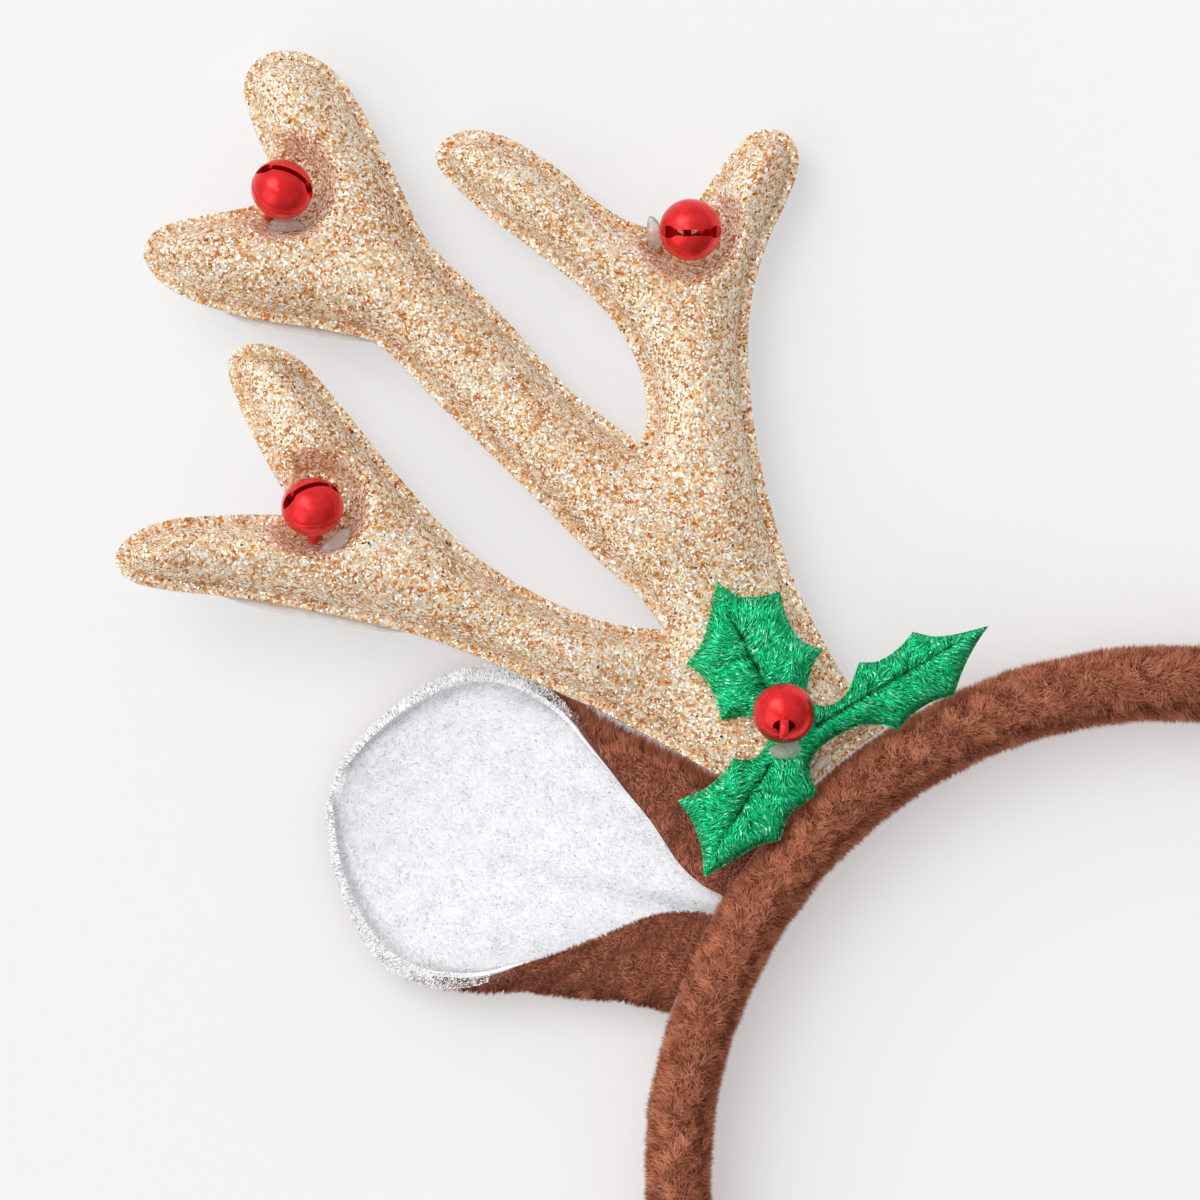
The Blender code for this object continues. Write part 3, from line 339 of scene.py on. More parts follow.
ROOT_OUT, ROOT_UP = on_hoop(ROOT_DEG, ROOT_BEYOND_HOOP)
EAR_OUT, EAR_UP = on_hoop(EAR_DEG, EAR_BEYOND_HOOP)
HOLLY_OUT, HOLLY_UP = on_hoop(HOLLY_DEG, HOLLY_BEYOND_HOOP)


def between(first, second, share):
    return first + (second - first) * share


def smooth_step(value, low, high):
    t = np.clip((value - low) / (high - low), 0.0, 1.0)
    return t * t * (3 - 2 * t)


def pillow(share):
    share = np.clip(share, 0.0, 1.0)
    return np.sqrt(1 - (1 - share) ** 2)


def unit(vectors, least=0.0):
    """Each row at length 1; least keeps a row of length 0 from dividing by 0."""
    return vectors / (np.linalg.norm(vectors, axis=1)[:, None] + least)


def hermite(t, start, leaving, end, arriving):
    """Smooth run from start to end with the given slopes at both."""
    return (
        (2 * t**3 - 3 * t**2 + 1) * start
        + (t**3 - 2 * t**2 + t) * leaving
        + (3 * t**2 - 2 * t**3) * end
        + (t**3 - t**2) * arriving
    )


def wobble(points, size, seed):
    """Smooth noise of about -1 to 1 with bumps of the given size in mm."""
    rng = np.random.default_rng(seed)
    points = np.asarray(points)
    total = np.zeros(len(points))
    for _ in range(10):
        way = rng.normal(size=points.shape[1])
        way *= rng.uniform(0.6, 1.5) * math.pi / size / np.linalg.norm(way)
        total += np.sin(points @ way + rng.uniform(0, 2 * math.pi))
    return total / 3.2


def fine_outline(points, kinds, steps):
    """Closed curve through the points, turning left."""
    points, kinds = np.asarray(points), list(kinds)
    turn = points[:, 0] * np.roll(points[:, 1], -1) - points[:, 1] * np.roll(points[:, 0], -1)
    if turn.sum() < 0:
        points, kinds = points[::-1], kinds[::-1]
    count = len(points)
    samples = []
    t = np.linspace(0.0, 1.0, steps, endpoint=False)[:, None]
    for i in range(count):
        before, here = points[i - 1], points[i]
        after, beyond = points[(i + 1) % count], points[(i + 2) % count]
        chord = after - here
        reach = np.linalg.norm(chord)
        leaving = chord if kinds[i] == CORNER else (after - before) / 2
        leaving = leaving / (np.linalg.norm(leaving) + 1e-9) * reach
        arriving = chord if kinds[(i + 1) % count] == CORNER else (beyond - here) / 2
        arriving = arriving / (np.linalg.norm(arriving) + 1e-9) * reach
        samples.append(hermite(t, here, leaving, after, arriving))
    return np.concatenate(samples)


def distance_to(samples, points):
    points = np.atleast_2d(points)
    found = np.empty(len(points))
    batch = 3000
    for k in range(0, len(points), batch):
        part = points[k : k + batch]
        away = (part[:, None, 0] - samples[None, :, 0]) ** 2 + (part[:, None, 1] - samples[None, :, 1]) ** 2
        found[k : k + batch] = np.sqrt(away.min(axis=1))
    return found


def contained(ring, points):
    inside = np.zeros(len(points), bool)
    x, y = points[:, 0], points[:, 1]
    for (ax, ay), (bx, by) in zip(ring, np.roll(ring, -1, axis=0)):
        if ay == by:
            continue
        inside ^= ((ay > y) != (by > y)) & (x < (bx - ax) * (y - ay) / (by - ay) + ax)
    return inside


def outward_of(ring):
    ahead = np.roll(ring, -1, axis=0) - np.roll(ring, 1, axis=0)
    return unit(np.stack([ahead[:, 1], -ahead[:, 0]], axis=1))


def thinned(points, spacing):
    kept = [points[0]]
    for point in points[1:]:
        if np.hypot(*(point - kept[-1])) > spacing:
            kept.append(point)
    return np.array(kept)


def rows_inside(ring, samples, offsets, clear, spacing):
    """Rows of points that follow the outline at each offset, clear of its other stretches."""
    rows = []
    for offset in offsets:
        run = ring - outward_of(ring) * offset
        rows.append(thinned(run[distance_to(samples, run) > offset * clear], spacing))
    return rows


def grid_inside(ring, samples, least, spacing):
    low, high = ring.min(axis=0), ring.max(axis=0)
    rows = []
    for j, y in enumerate(np.arange(low[1], high[1], spacing * 0.866)):
        xs = np.arange(low[0] + spacing / 2 * (j % 2), high[0], spacing)
        rows.append(np.column_stack([xs, np.full(len(xs), y)]))
    rows = np.concatenate(rows)
    rows = rows[contained(ring, rows)]
    return rows[distance_to(samples, rows) > least]


def filled(ring, inner):
    flat = [Vector(p) for p in np.concatenate([ring, inner])] if len(inner) else [Vector(p) for p in ring]
    _, _, faces, origin, _, _ = delaunay_2d_cdt(flat, [], [list(range(len(ring)))], 1, 1e-5)
    first = [source[0] for source in origin]
    return np.array([[first[k] for k in face] for face in faces])


def slab(ring, inner_top, inner_bottom, top, bottom):
    over = top(np.concatenate([ring, inner_top]))
    under_plan = np.concatenate([ring, inner_bottom]) if len(inner_bottom) else ring
    under = bottom(under_plan)
    shift, n = len(over), len(ring)
    top_faces = filled(ring, inner_top)
    bottom_faces = filled(ring, inner_bottom)[:, ::-1] + shift
    i = np.arange(n)
    j = (i + 1) % n
    wall = np.concatenate([np.stack([j, i, shift + i], axis=1), np.stack([j, shift + i, shift + j], axis=1)])
    return np.concatenate([over, under]), np.concatenate([top_faces, bottom_faces, wall])


def linked(name, data):
    """A new object in the scene."""
    obj = bpy.data.objects.new(name, data)
    bpy.context.scene.collection.objects.link(obj)
    return obj


def add_piece(name, points, faces, material, sign=1, nodes=(), normals=None, sharp=None, tone=None,
              grain=None):
    """One mesh piece from points in mm on one side; sign -1 mirrors it to the left."""
    faces = np.asarray(faces, np.int32)
    if sign < 0:
        faces = faces[:, ::-1]
    spots = (np.asarray(points, float) * (sign, 1, 1) - (0, MIDDLE_Y, 0)) * MM
    mesh = bpy.data.meshes.new(name)
    mesh.vertices.add(len(spots))
    mesh.vertices.foreach_set("co", spots.astype(np.float32).ravel())
    mesh.loops.add(faces.size)
    mesh.loops.foreach_set("vertex_index", np.ascontiguousarray(faces).ravel())
    mesh.polygons.add(len(faces))
    starts = np.arange(0, faces.size, faces.shape[1], dtype=np.int32)
    mesh.polygons.foreach_set("loop_start", starts)
    mesh.update(calc_edges=True)
    mesh.shade_smooth()
    if sharp is not None:
        mesh.set_sharp_from_angle(angle=math.radians(sharp))
    if tone is not None:
        mesh.attributes.new("tone", "FLOAT", "POINT").data.foreach_set("value", tone.astype(np.float32))
    if grain is not None:
        way = np.column_stack([grain[:, 0] * sign, grain[:, 1], np.zeros(len(grain))])
        mesh.attributes.new("grain", "FLOAT_VECTOR", "POINT").data.foreach_set(
            "vector", way.astype(np.float32).ravel()
        )
    if normals is not None:
        mesh.normals_split_custom_set_from_vertices((normals * (sign, 1, 1)).astype(np.float32))
    mesh.materials.append(material)
    obj = linked(name, mesh)
    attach(obj, "root")
    if nodes:
        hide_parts(*nodes)
    return obj


def add_fibres(name, fibres, material, sign=1):
    """A pile piece, in which every three points are one fibre."""
    points, normals, tone = fibres
    faces = np.arange(len(points)).reshape(-1, 3)
    add_piece(name, points, faces, material, sign, normals=normals, tone=tone)


def joined(parts):
    """Several runs of fibres as one."""
    return [np.concatenate([part[k] for part in parts]) for k in range(3)]


def side_name(sign):
    return "left" if sign < 0 else "right"


def connect(tree, made, inputs):
    """Sets each input of a node to its value, or links it to its socket."""
    for key, value in inputs.items():
        if isinstance(value, bpy.types.NodeSocket):
            tree.links.new(value, made.inputs[key])
        else:
            made.inputs[key].default_value = value


def node(tree, kind, inputs=None, **settings):
    made = tree.nodes.new(kind)
    for key, value in settings.items():
        setattr(made, key, value)
    connect(tree, made, inputs or {})
    return made


def new_material(name):
    """A material, its tree, its shader and the place on the piece in metres."""
    material = bpy.data.materials.new(name)
    material.use_nodes = True
    tree = material.node_tree
    place = node(tree, "ShaderNodeTexCoord").outputs["Object"]
    return material, tree, tree.nodes["Principled BSDF"], place


def ramp(tree, factor, stops):
    made = node(tree, "ShaderNodeValToRGB", {"Fac": factor})
    while len(made.color_ramp.elements) < len(stops):
        made.color_ramp.elements.new(0.5)
    for element, (place, colour) in zip(made.color_ramp.elements, stops):
        element.position = place
        element.color = (*colour, 1.0)
    return made.outputs["Color"]


def math_node(tree, operation, a, b=0.0, c=None):
    inputs = {0: a, 1: b}
    if c is not None:
        inputs[2] = c
    return node(tree, "ShaderNodeMath", inputs, operation=operation).outputs[0]


def vector_node(tree, operation, a, b=(0, 0, 0), output="Vector"):
    return node(tree, "ShaderNodeVectorMath", {0: a, 1: b}, operation=operation).outputs[output]


def attribute(tree, name, output="Fac"):
    made = node(tree, "ShaderNodeAttribute", attribute_name=name, attribute_type="GEOMETRY")
    return made.outputs[output]


def noise(tree, place, scale, detail=2.0, rough=0.5, distortion=0.0):
    return node(
        tree,
        "ShaderNodeTexNoise",
        {"Vector": place, "Scale": scale, "Detail": detail, "Roughness": rough, "Distortion": distortion},
    ).outputs["Fac"]


def cells(tree, place, scale, randomness=1.0):
    inputs = {"Vector": place, "Scale": scale, "Randomness": randomness}
    return node(tree, "ShaderNodeTexVoronoi", inputs).outputs


def channels(tree, colour):
    return node(tree, "ShaderNodeSeparateColor", {"Color": colour}).outputs


def mix(tree, factor, first, second):
    """The first colour where the factor is 0, the second where it is 1."""
    inputs = {"Factor": factor, 6: first, 7: second}
    return node(tree, "ShaderNodeMix", inputs, data_type="RGBA").outputs[2]


def bump(tree, height, strength, depth):
    """Fine relief, with its depth in mm."""
    inputs = {"Strength": strength, "Distance": depth * MM, "Height": height}
    return node(tree, "ShaderNodeBump", inputs).outputs[0]


def plush_material(name, tints, glow, rim_glow=0.0):
    """Pile fibres, with painted shade darkening them toward the root; the glow is painted light, an emission
    that brightens the fibres against their own shade and stands in for the light that thin fibres let
    through.
    """
    material, tree, shader, place = new_material(name)
    tone = attribute(tree, "tone")
    patches = math_node(tree, "SUBTRACT", noise(tree, place, 620.0, 3.0, 0.6), 0.5)
    value = math_node(tree, "MULTIPLY_ADD", patches, 0.55, tone)
    colour = ramp(tree, value, tuple(zip((0.0, 0.5, 1.0), tints)))
    # Painted light: the rim's fibres get extra glow.
    on_rim = math_node(tree, "GREATER_THAN", tone, RIM_TONE - 0.5)
    connect(tree, shader, {
        "Base Color": colour,
        "Roughness": 0.85,
        "Specular IOR Level": 0.25,
        "Emission Color": colour,
        "Emission Strength": math_node(tree, "MULTIPLY_ADD", on_rim, rim_glow, glow),
    })
    material.cycles.emission_sampling = "NONE"
    return material


def ground_material(name, shade, colour, depth, glow=0.0):
    """The knitted ground under a pile, with its relief in mm; glow is painted light, an emission that
    brightens the ground.
    """
    material, tree, shader, place = new_material(name)
    knit = noise(tree, place, 1500.0, 3.0, 0.6)
    connect(tree, shader, {
        "Base Color": ramp(tree, knit, ((0.3, shade), (0.7, colour))),
        "Normal": bump(tree, knit, 0.6, depth),
        "Roughness": 0.95,
        "Emission Color": WHITE,
        "Emission Strength": glow,
    })
    material.cycles.emission_sampling = "NONE"
    return material


def glitter_material():
    """Champagne glitter: small tilted flakes, each with its own tint, with caramel showing in clusters and
    painted glints where a few flakes are coloured white.
    """
    material, tree, shader, place = new_material("champagne_glitter")
    flakes = cells(tree, place, 3700.0)
    tint, dark_draw, glint_draw = channels(tree, flakes["Color"])
    clusters = noise(tree, place, 1250.0, 3.0, 0.62, 1.1)
    broad = math_node(tree, "MULTIPLY", noise(tree, place, 120.0), 0.16)
    value = math_node(tree, "ADD", math_node(tree, "MULTIPLY_ADD", tint, 0.26, clusters), broad)
    colour = ramp(tree, math_node(tree, "SUBTRACT", value, 0.21), GLITTER_TINTS)
    # Painted glints: a few flakes are coloured near white.
    colour = mix(tree, math_node(tree, "GREATER_THAN", glint_draw, 0.84), colour, (1.0, 0.99, 0.96, 1.0))
    colour = mix(tree, math_node(tree, "LESS_THAN", dark_draw, 0.004), colour, (0.10, 0.04, 0.03, 1.0))
    tilt = vector_node(tree, "SUBTRACT", flakes["Color"], (0.5, 0.5, 0.5))
    tilt = node(tree, "ShaderNodeVectorMath", {0: tilt, "Scale": 0.95}, operation="SCALE").outputs[0]
    facing = node(tree, "ShaderNodeNewGeometry").outputs["Normal"]
    connect(tree, shader, {
        "Base Color": colour,
        "Normal": vector_node(tree, "NORMALIZE", vector_node(tree, "ADD", facing, tilt)),
        "Metallic": 0.3,
        "Roughness": 0.26,
    })
    return material


def backing_material():
    """Smooth off-white cloth with a fine weave."""
    material, tree, shader, place = new_material("white_backing")
    weave = cells(tree, place, 2600.0, 0.35)["Distance"]
    mottle = noise(tree, place, 300.0, 3.0, 0.55)
    connect(tree, shader, {
        "Base Color": ramp(tree, mottle, ((0.3, (0.72, 0.66, 0.62)), (0.7, (0.86, 0.82, 0.79)))),
        "Normal": bump(tree, weave, 0.5, 0.05),
        "Roughness": 0.8,
        "Sheen Weight": 0.2,
    })
    return material


def foil_material():
    """Green foil cloth pressed with short satin strokes that follow the grain of each leaf, coloured with
    painted glints and painted dark reflections, and painted shade along the veins.
    """
    material, tree, shader, place = new_material("green_foil")
    grain = attribute(tree, "grain", "Vector")
    patches = cells(tree, place, STROKES_ALONG)
    local = vector_node(tree, "SUBTRACT", place, patches["Position"])
    quarter_turn = {"Vector": grain, "Angle": math.pi / 2}
    across = node(tree, "ShaderNodeVectorRotate", quarter_turn, rotation_type="Z_AXIS").outputs[0]
    along_part = vector_node(tree, "DOT_PRODUCT", local, grain, "Value")
    across_part = vector_node(tree, "DOT_PRODUCT", local, across, "Value")
    strokes_at = node(tree, "ShaderNodeCombineXYZ", {
        "X": math_node(tree, "MULTIPLY", along_part, STROKES_ALONG),
        "Y": math_node(tree, "MULTIPLY", across_part, STROKES_ACROSS),
        "Z": math_node(tree, "MULTIPLY", channels(tree, patches["Color"])[0], 40.0),
    })
    strokes = noise(tree, strokes_at.outputs[0], 1.0, 2.0, 0.55)
    connect(tree, shader, {
        "Base Color": mix(tree, attribute(tree, "tone"), FOIL_VEIN_SHADE, ramp(tree, strokes, FOIL_GLINT_TINTS)),
        "Normal": bump(tree, strokes, 1.0, 0.34),
        "Metallic": 0.82,
        "Roughness": 0.17,
    })
    return material


def foil_edge_material():
    material, tree, shader, place = new_material("green_cut_edge")
    fibres = noise(tree, place, 2200.0, 2.0, 0.6)
    colour = ramp(tree, fibres, ((0.3, (0.30, 0.55, 0.38)), (0.7, (0.62, 0.76, 0.64))))
    connect(tree, shader, {"Base Color": colour, "Roughness": 0.7})
    return material


def bell_material():
    """Satin red paint over metal, with faint polishing streaks and small dull spots."""
    material, tree, shader, place = new_material("red_metal")
    spots = noise(tree, place, 700.0, 4.0, 0.6)
    fine = noise(tree, place, 1600.0, 2.0, 0.6)
    rough = node(tree, "ShaderNodeMapRange", {"Value": spots, "To Min": 0.19, "To Max": 0.33})
    connect(tree, shader, {
        "Base Color": ramp(tree, spots, ((0.25, (0.72, 0.007, 0.012)), (0.7, (0.92, 0.030, 0.030)))),
        "Normal": bump(tree, fine, 0.35, 0.03),
        "Roughness": rough.outputs[0],
        "Metallic": 0.8,
        "Coat Weight": 0.25,
        "Coat Roughness": 0.25,
    })
    return material


def glue_material():
    material, tree, shader, place = new_material("clear_glue")
    haze = noise(tree, place, 500.0, 3.0, 0.6)
    connect(tree, shader, {
        "Base Color": ramp(tree, haze, ((0.3, (0.80, 0.74, 0.71)), (0.7, (0.95, 0.92, 0.90)))),
        "Normal": bump(tree, haze, 0.4, 0.1),
        "Roughness": 0.25,
        "Transmission Weight": 0.78,
        "IOR": 1.48,
    })
    return material


Spots = namedtuple("Spots", "place normal along across u v row column")


def scatter(grid, count, rng, closed=False, weight=None):
    """Random spots on a grid surface, with mm along and across (u, v) and the grid's row and column."""
    if closed:
        grid = np.concatenate([grid, grid[:, :1]], axis=1)
    a, b, c, d = grid[:-1, :-1], grid[1:, :-1], grid[1:, 1:], grid[:-1, 1:]
    area = np.linalg.norm(np.cross(c - a, d - b), axis=2) / 2
    chance = area if weight is None else area * weight
    chance = chance.ravel() / chance.sum()
    quad = rng.choice(len(chance), size=count, p=chance)
    i, j = np.unravel_index(quad, area.shape)
    s, t = rng.random(count)[:, None], rng.random(count)[:, None]
    place = (a[i, j] * (1 - s) + b[i, j] * s) * (1 - t) + (d[i, j] * (1 - s) + c[i, j] * s) * t
    along = (b[i, j] - a[i, j]) * (1 - t) + (c[i, j] - d[i, j]) * t
    across = (d[i, j] - a[i, j]) * (1 - s) + (c[i, j] - b[i, j]) * s
    steps_u = np.linalg.norm(np.diff(grid, axis=0), axis=2).mean(axis=1)
    steps_v = np.linalg.norm(np.diff(grid, axis=1), axis=2).mean(axis=0)
    u = np.concatenate([[0], np.cumsum(steps_u)])[i] + s[:, 0] * steps_u[i]
    v = np.concatenate([[0], np.cumsum(steps_v)])[j] + t[:, 0] * steps_v[j]
    least = 1e-12
    normal = unit(np.cross(along, across), least)
    return Spots(place, normal, unit(along, least), unit(across, least), u, v, i + s[:, 0], j + t[:, 0])


def clump_pull(u, v, size, seed):
    """From each spot to the middle of its tuft, in mm along and across, and a random number of the tuft."""
    rng = np.random.default_rng(seed)
    side = 256
    table = rng.random((side, side, 3))
    best = np.full(len(u), FAR)
    pull = np.zeros((len(u), 2))
    mark = np.zeros(len(u))
    iu, iv = np.floor(u / size).astype(int), np.floor(v / size).astype(int)
    for du in (-1, 0, 1):
        for dv in (-1, 0, 1):
            cell = table[(iu + du) % side, (iv + dv) % side]
            cu, cv = (iu + du + cell[:, 0]) * size - u, (iv + dv + cell[:, 1]) * size - v
            near = cu**2 + cv**2
            closer = near < best
            best[closer] = near[closer]
            pull[closer] = np.column_stack([cu, cv])[closer]
            mark[closer] = cell[closer, 2]
    return pull, mark


def pile(spots, rng, length, shade, lean, width, clump, pull, seed, curl, swirl):
    """One thin leaf-shaped fibre per spot, as points, normals and tone; sizes in mm."""
    place, normal, along, across, u, v = spots[:6]
    count = len(place)
    to_tuft, mark = clump_pull(u, v, clump, seed)
    lean_u, lean_v = (
        (lean[k] + swirl * wobble(np.column_stack([u, v]), size, seed + k + 1))[:, None]
        for k, size in enumerate((2.4, 2.0))
    )
    long = length * rng.uniform(0.7, 1.15, count) * (0.85 + 0.3 * mark)
    way = unit(normal + along * lean_u + across * lean_v + rng.normal(0, curl, (count, 3)))
    tip = place + way * long[:, None]
    tip += (along * to_tuft[:, :1] + across * to_tuft[:, 1:]) * pull
    edge = unit(np.cross(way, normal) + rng.normal(0, 0.35, (count, 3)), 1e-9)
    edge *= (width * rng.uniform(0.7, 1.3, count))[:, None]
    points = np.stack([place - edge / 2, place + edge / 2, tip], axis=1).reshape(-1, 3)
    points[:, 2] = np.maximum(points[:, 2], 0.05)
    soft = unit(normal + 0.55 * way + rng.normal(0, 0.22, (count, 3)))
    base = rng.uniform(0.82, 1.1, count) * (0.8 + 0.35 * mark) * shade
    # Painted shade: each fibre's colour darkens from its tip to its root.
    tone = np.stack([base * PAINTED_ROOT_SHADE, base * PAINTED_ROOT_SHADE, base * TIP_TONE], axis=1).ravel()
    return points, np.repeat(soft, 3, axis=0), tone


def smooth_closed(points, count):
    """Closed smooth curve through the points, resampled evenly by index."""
    points = np.asarray(points, float)
    t = np.linspace(0, len(points), count, endpoint=False)
    i = np.floor(t).astype(int)
    f = (t - i)[:, None]
    p0, p1, p2, p3 = (points[(i + k) % len(points)] for k in (-1, 0, 1, 2))
    square = 2 * p0 - 5 * p1 + 4 * p2 - p3
    cube = 3 * p1 - p0 - 3 * p2 + p3
    return 0.5 * (2 * p1 + (p2 - p0) * f + square * f**2 + cube * f**3)


def hoop_grid(inset):
    """The hoop's skin as rows of points, from one leg tip to the other, drawn in by the inset."""
    bend = LEG_LENGTH / LEG_BEND_R
    right = []
    for a in np.linspace(0.0, math.pi / 2, HOOP_STEPS):
        share = a / (math.pi / 2)
        pad = between(HOOP_PADDING_TOP, HOOP_PADDING_SIDE, share)
        spot = (HOOP_OUTER_R * math.sin(a), HOOP_OUTER_R * math.cos(a))
        right.append((spot, (-math.sin(a), -math.cos(a)), pad, HOOP_HEIGHT, 1.0))
    for share in np.linspace(0, 1, LEG_STEPS + 1)[1:]:
        b = bend * share
        pad = between(HOOP_PADDING_SIDE, HOOP_PADDING_TIP, share)
        tall = between(HOOP_HEIGHT, HOOP_TIP_HEIGHT, share)
        spot = (HOOP_OUTER_R - LEG_BEND_R + LEG_BEND_R * math.cos(b), -LEG_BEND_R * math.sin(b))
        right.append((spot, (-math.cos(b), math.sin(b)), pad, tall, 1.0))
    (x, y), (nx, ny), pad, tall, _ = right[-1]
    for a in np.radians(LEG_END_DEGREES):
        ahead = (LEG_END_ROUND - inset) * math.sin(a)
        right.append(((x - ny * ahead, y + nx * ahead), (nx, ny), pad, tall, math.cos(a)))
    left = [((-px, py), (-qx, qy), p, t, s) for (px, py), (qx, qy), p, t, s in right[:0:-1]]
    section = smooth_closed(HOOP_SECTION, SECTION_STEPS)
    rows = []
    for (x, y), (nx, ny), pad, tall, scale in left + right:
        inward = pad / 2 + section[:, 0] * (pad / 2 - inset) * scale
        height = tall / 2 + section[:, 1] * (tall / 2 - inset) * scale
        rows.append(np.column_stack([x + nx * inward, y + ny * inward, height]))
    return np.array(rows), section


def grid_faces(rows, columns, closed):
    i, j = np.meshgrid(np.arange(rows - 1), np.arange(columns if closed else columns - 1), indexing="ij")
    k = (j + 1) % columns
    a, b, c, d = i * columns + j, (i + 1) * columns + j, (i + 1) * columns + k, i * columns + k
    return np.stack([a, b, c, d], axis=-1).reshape(-1, 4)


def as_triangles(faces):
    return np.concatenate([faces[:, [0, 1, 2]], faces[:, [0, 2, 3]]])


def build_band(ground, pile_material):
    grid, section = hoop_grid(BAND_PILE)
    rows, columns = grid.shape[:2]
    points = grid.reshape(-1, 3)
    out = unit((grid - grid.mean(axis=1, keepdims=True)).reshape(-1, 3), 1e-9)
    points = points + out * (wobble(points, 3.5, 5) * BAND_BUMPS)[:, None]
    fan = np.array([(0, k, k + 1) for k in range(1, columns - 1)])
    skin = as_triangles(grid_faces(rows, columns, True))
    faces = np.concatenate([skin, fan, fan[:, ::-1] + (rows - 1) * columns])
    band = add_piece("band_core", points, faces, ground, nodes=("band",))

    rng = np.random.default_rng(11)
    seam = int(np.argmin(np.hypot(section[:, 0] - SEAM_AT[0], section[:, 1] - SEAM_AT[1])))
    spots = scatter(points.reshape(rows, columns, 3), BAND_FIBRES, rng, closed=True)
    off_seam = np.abs((spots.column - seam + columns / 2) % columns - columns / 2)
    under_seam = (spots.column - seam) % columns > columns - UNDER_SEAM_COLUMNS
    # Painted shade: the fibres along the seam are nearly black, for the shade in its groove, and a strip
    # below it is a little darker.
    shade = 0.04 + 0.96 * smooth_step(off_seam, 1.1, 3.0)
    shade = np.where(under_seam, shade * UNDER_SEAM_SHADE, shade)
    shade = shade * (1.0 + BAND_STREAKS * wobble(np.column_stack([spots.u * 0.45, spots.v]), 1.1, 31))
    long = BAND_FIBRE_LENGTH * (0.35 + 0.65 * smooth_step(off_seam, 0.5, 3.0))
    fibres = pile(spots, rng, long, shade, **BAND_LIE)
    for sign in (-1, 1):
        mine = np.flatnonzero(spots.place[:, 0] * sign >= 0)
        picked = (mine[:, None] * 3 + np.arange(3)).ravel()
        name = "band_pile_" + side_name(sign)
        add_fibres(name, [part[picked] for part in fibres], pile_material)


def antler_points(rows):
    return np.array([(ROOT_OUT + row[0] * ANTLER_REACH, ROOT_UP + row[1] * ANTLER_RISE) for row in rows])


def antler_middle(plan):
    away = plan - np.array((ROOT_OUT, ROOT_UP))
    along = away @ np.array(LONG_AXIS)
    side = away @ np.array((LONG_AXIS[1], -LONG_AXIS[0]))
    bent = np.logaddexp(0.0, (side - RISE_FROM) / RISE_BLEND) * RISE_BLEND
    return ANTLER_Z - DROOP_ALONG * along + (RISE_LOW_SIDE - RISE_TOP_SIDE) * bent + RISE_TOP_SIDE * side


def off_middle(plan, height):
    """Points over the plan at a height square to the antler's middle surface."""
    step = 0.05
    slopes = [
        (antler_middle(plan + way) - antler_middle(plan - way)) / (2 * step) for way in ((step, 0), (0, step))
    ]
    normal = unit(np.stack([-slopes[0], -slopes[1], np.ones(len(plan))], axis=1))
    return np.column_stack([plan, antler_middle(plan)]) + normal * np.asarray(height)[:, None]


def bell_places():
    return antler_points([row[1:3] for row in BELLS])


def front_height(plan, samples):
    """Thickness of the padded front: a flat grooved rim, a puffed middle and seats for the bells."""
    depth = distance_to(samples, plan)
    grow = smooth_step(np.hypot(*(plan - (ROOT_OUT, ROOT_UP)).T), PUFF_RAMP_FROM, PUFF_RAMP_TO)
    height = between(PUFF_AT_ROOT, PUFF, grow) * pillow((depth - RIM_WIDTH) / PUFF_FULL_WIDTH)
    height = height + FRONT_WAVES * wobble(plan, 9.0, 3) * smooth_step(depth, RIM_WIDTH, PUFF_FULL_WIDTH)
    for place in bell_places()[:3]:
        reach = np.hypot(*(plan - place).T)
        height = height * smooth_step(reach, BELL_R * SEAT_FLAT, BELL_R * SEAT_REACH)
    groove = RIM_GROOVE * np.exp(-(((depth - RIM_WIDTH * RIM_GROOVE_AT) / RIM_GROOVE_HALF_WIDTH) ** 2))
    rounded = FRONT_EDGE_DROP * np.exp(-((depth / FRONT_EDGE_WIDTH) ** 2))
    return HALF_GAP + RIM_THICK - groove - rounded + height


def backing_edge(ring):
    """The backing's outline: drawn in from the front's, and past it where the photo shows the cloth."""
    wide = ring[::2].copy()
    outward = outward_of(wide)
    reach = np.zeros(len(wide))
    for out, up, spread, over in BACKING_SHOWS:
        away = np.hypot(*(wide - antler_points([(out, up)])[0]).T) / (spread * ANTLER_REACH)
        reach += RIM_WIDTH * over * np.exp(-(away**4))
    reach = reach * smooth_step(-outward[:, 1], 0.1, 0.5)
    hidden = 1 - smooth_step(np.clip(reach / RIM_WIDTH, 0, 1), 0.0, 0.3)
    return wide + outward * (reach - BACKING_INSET * hidden)[:, None]


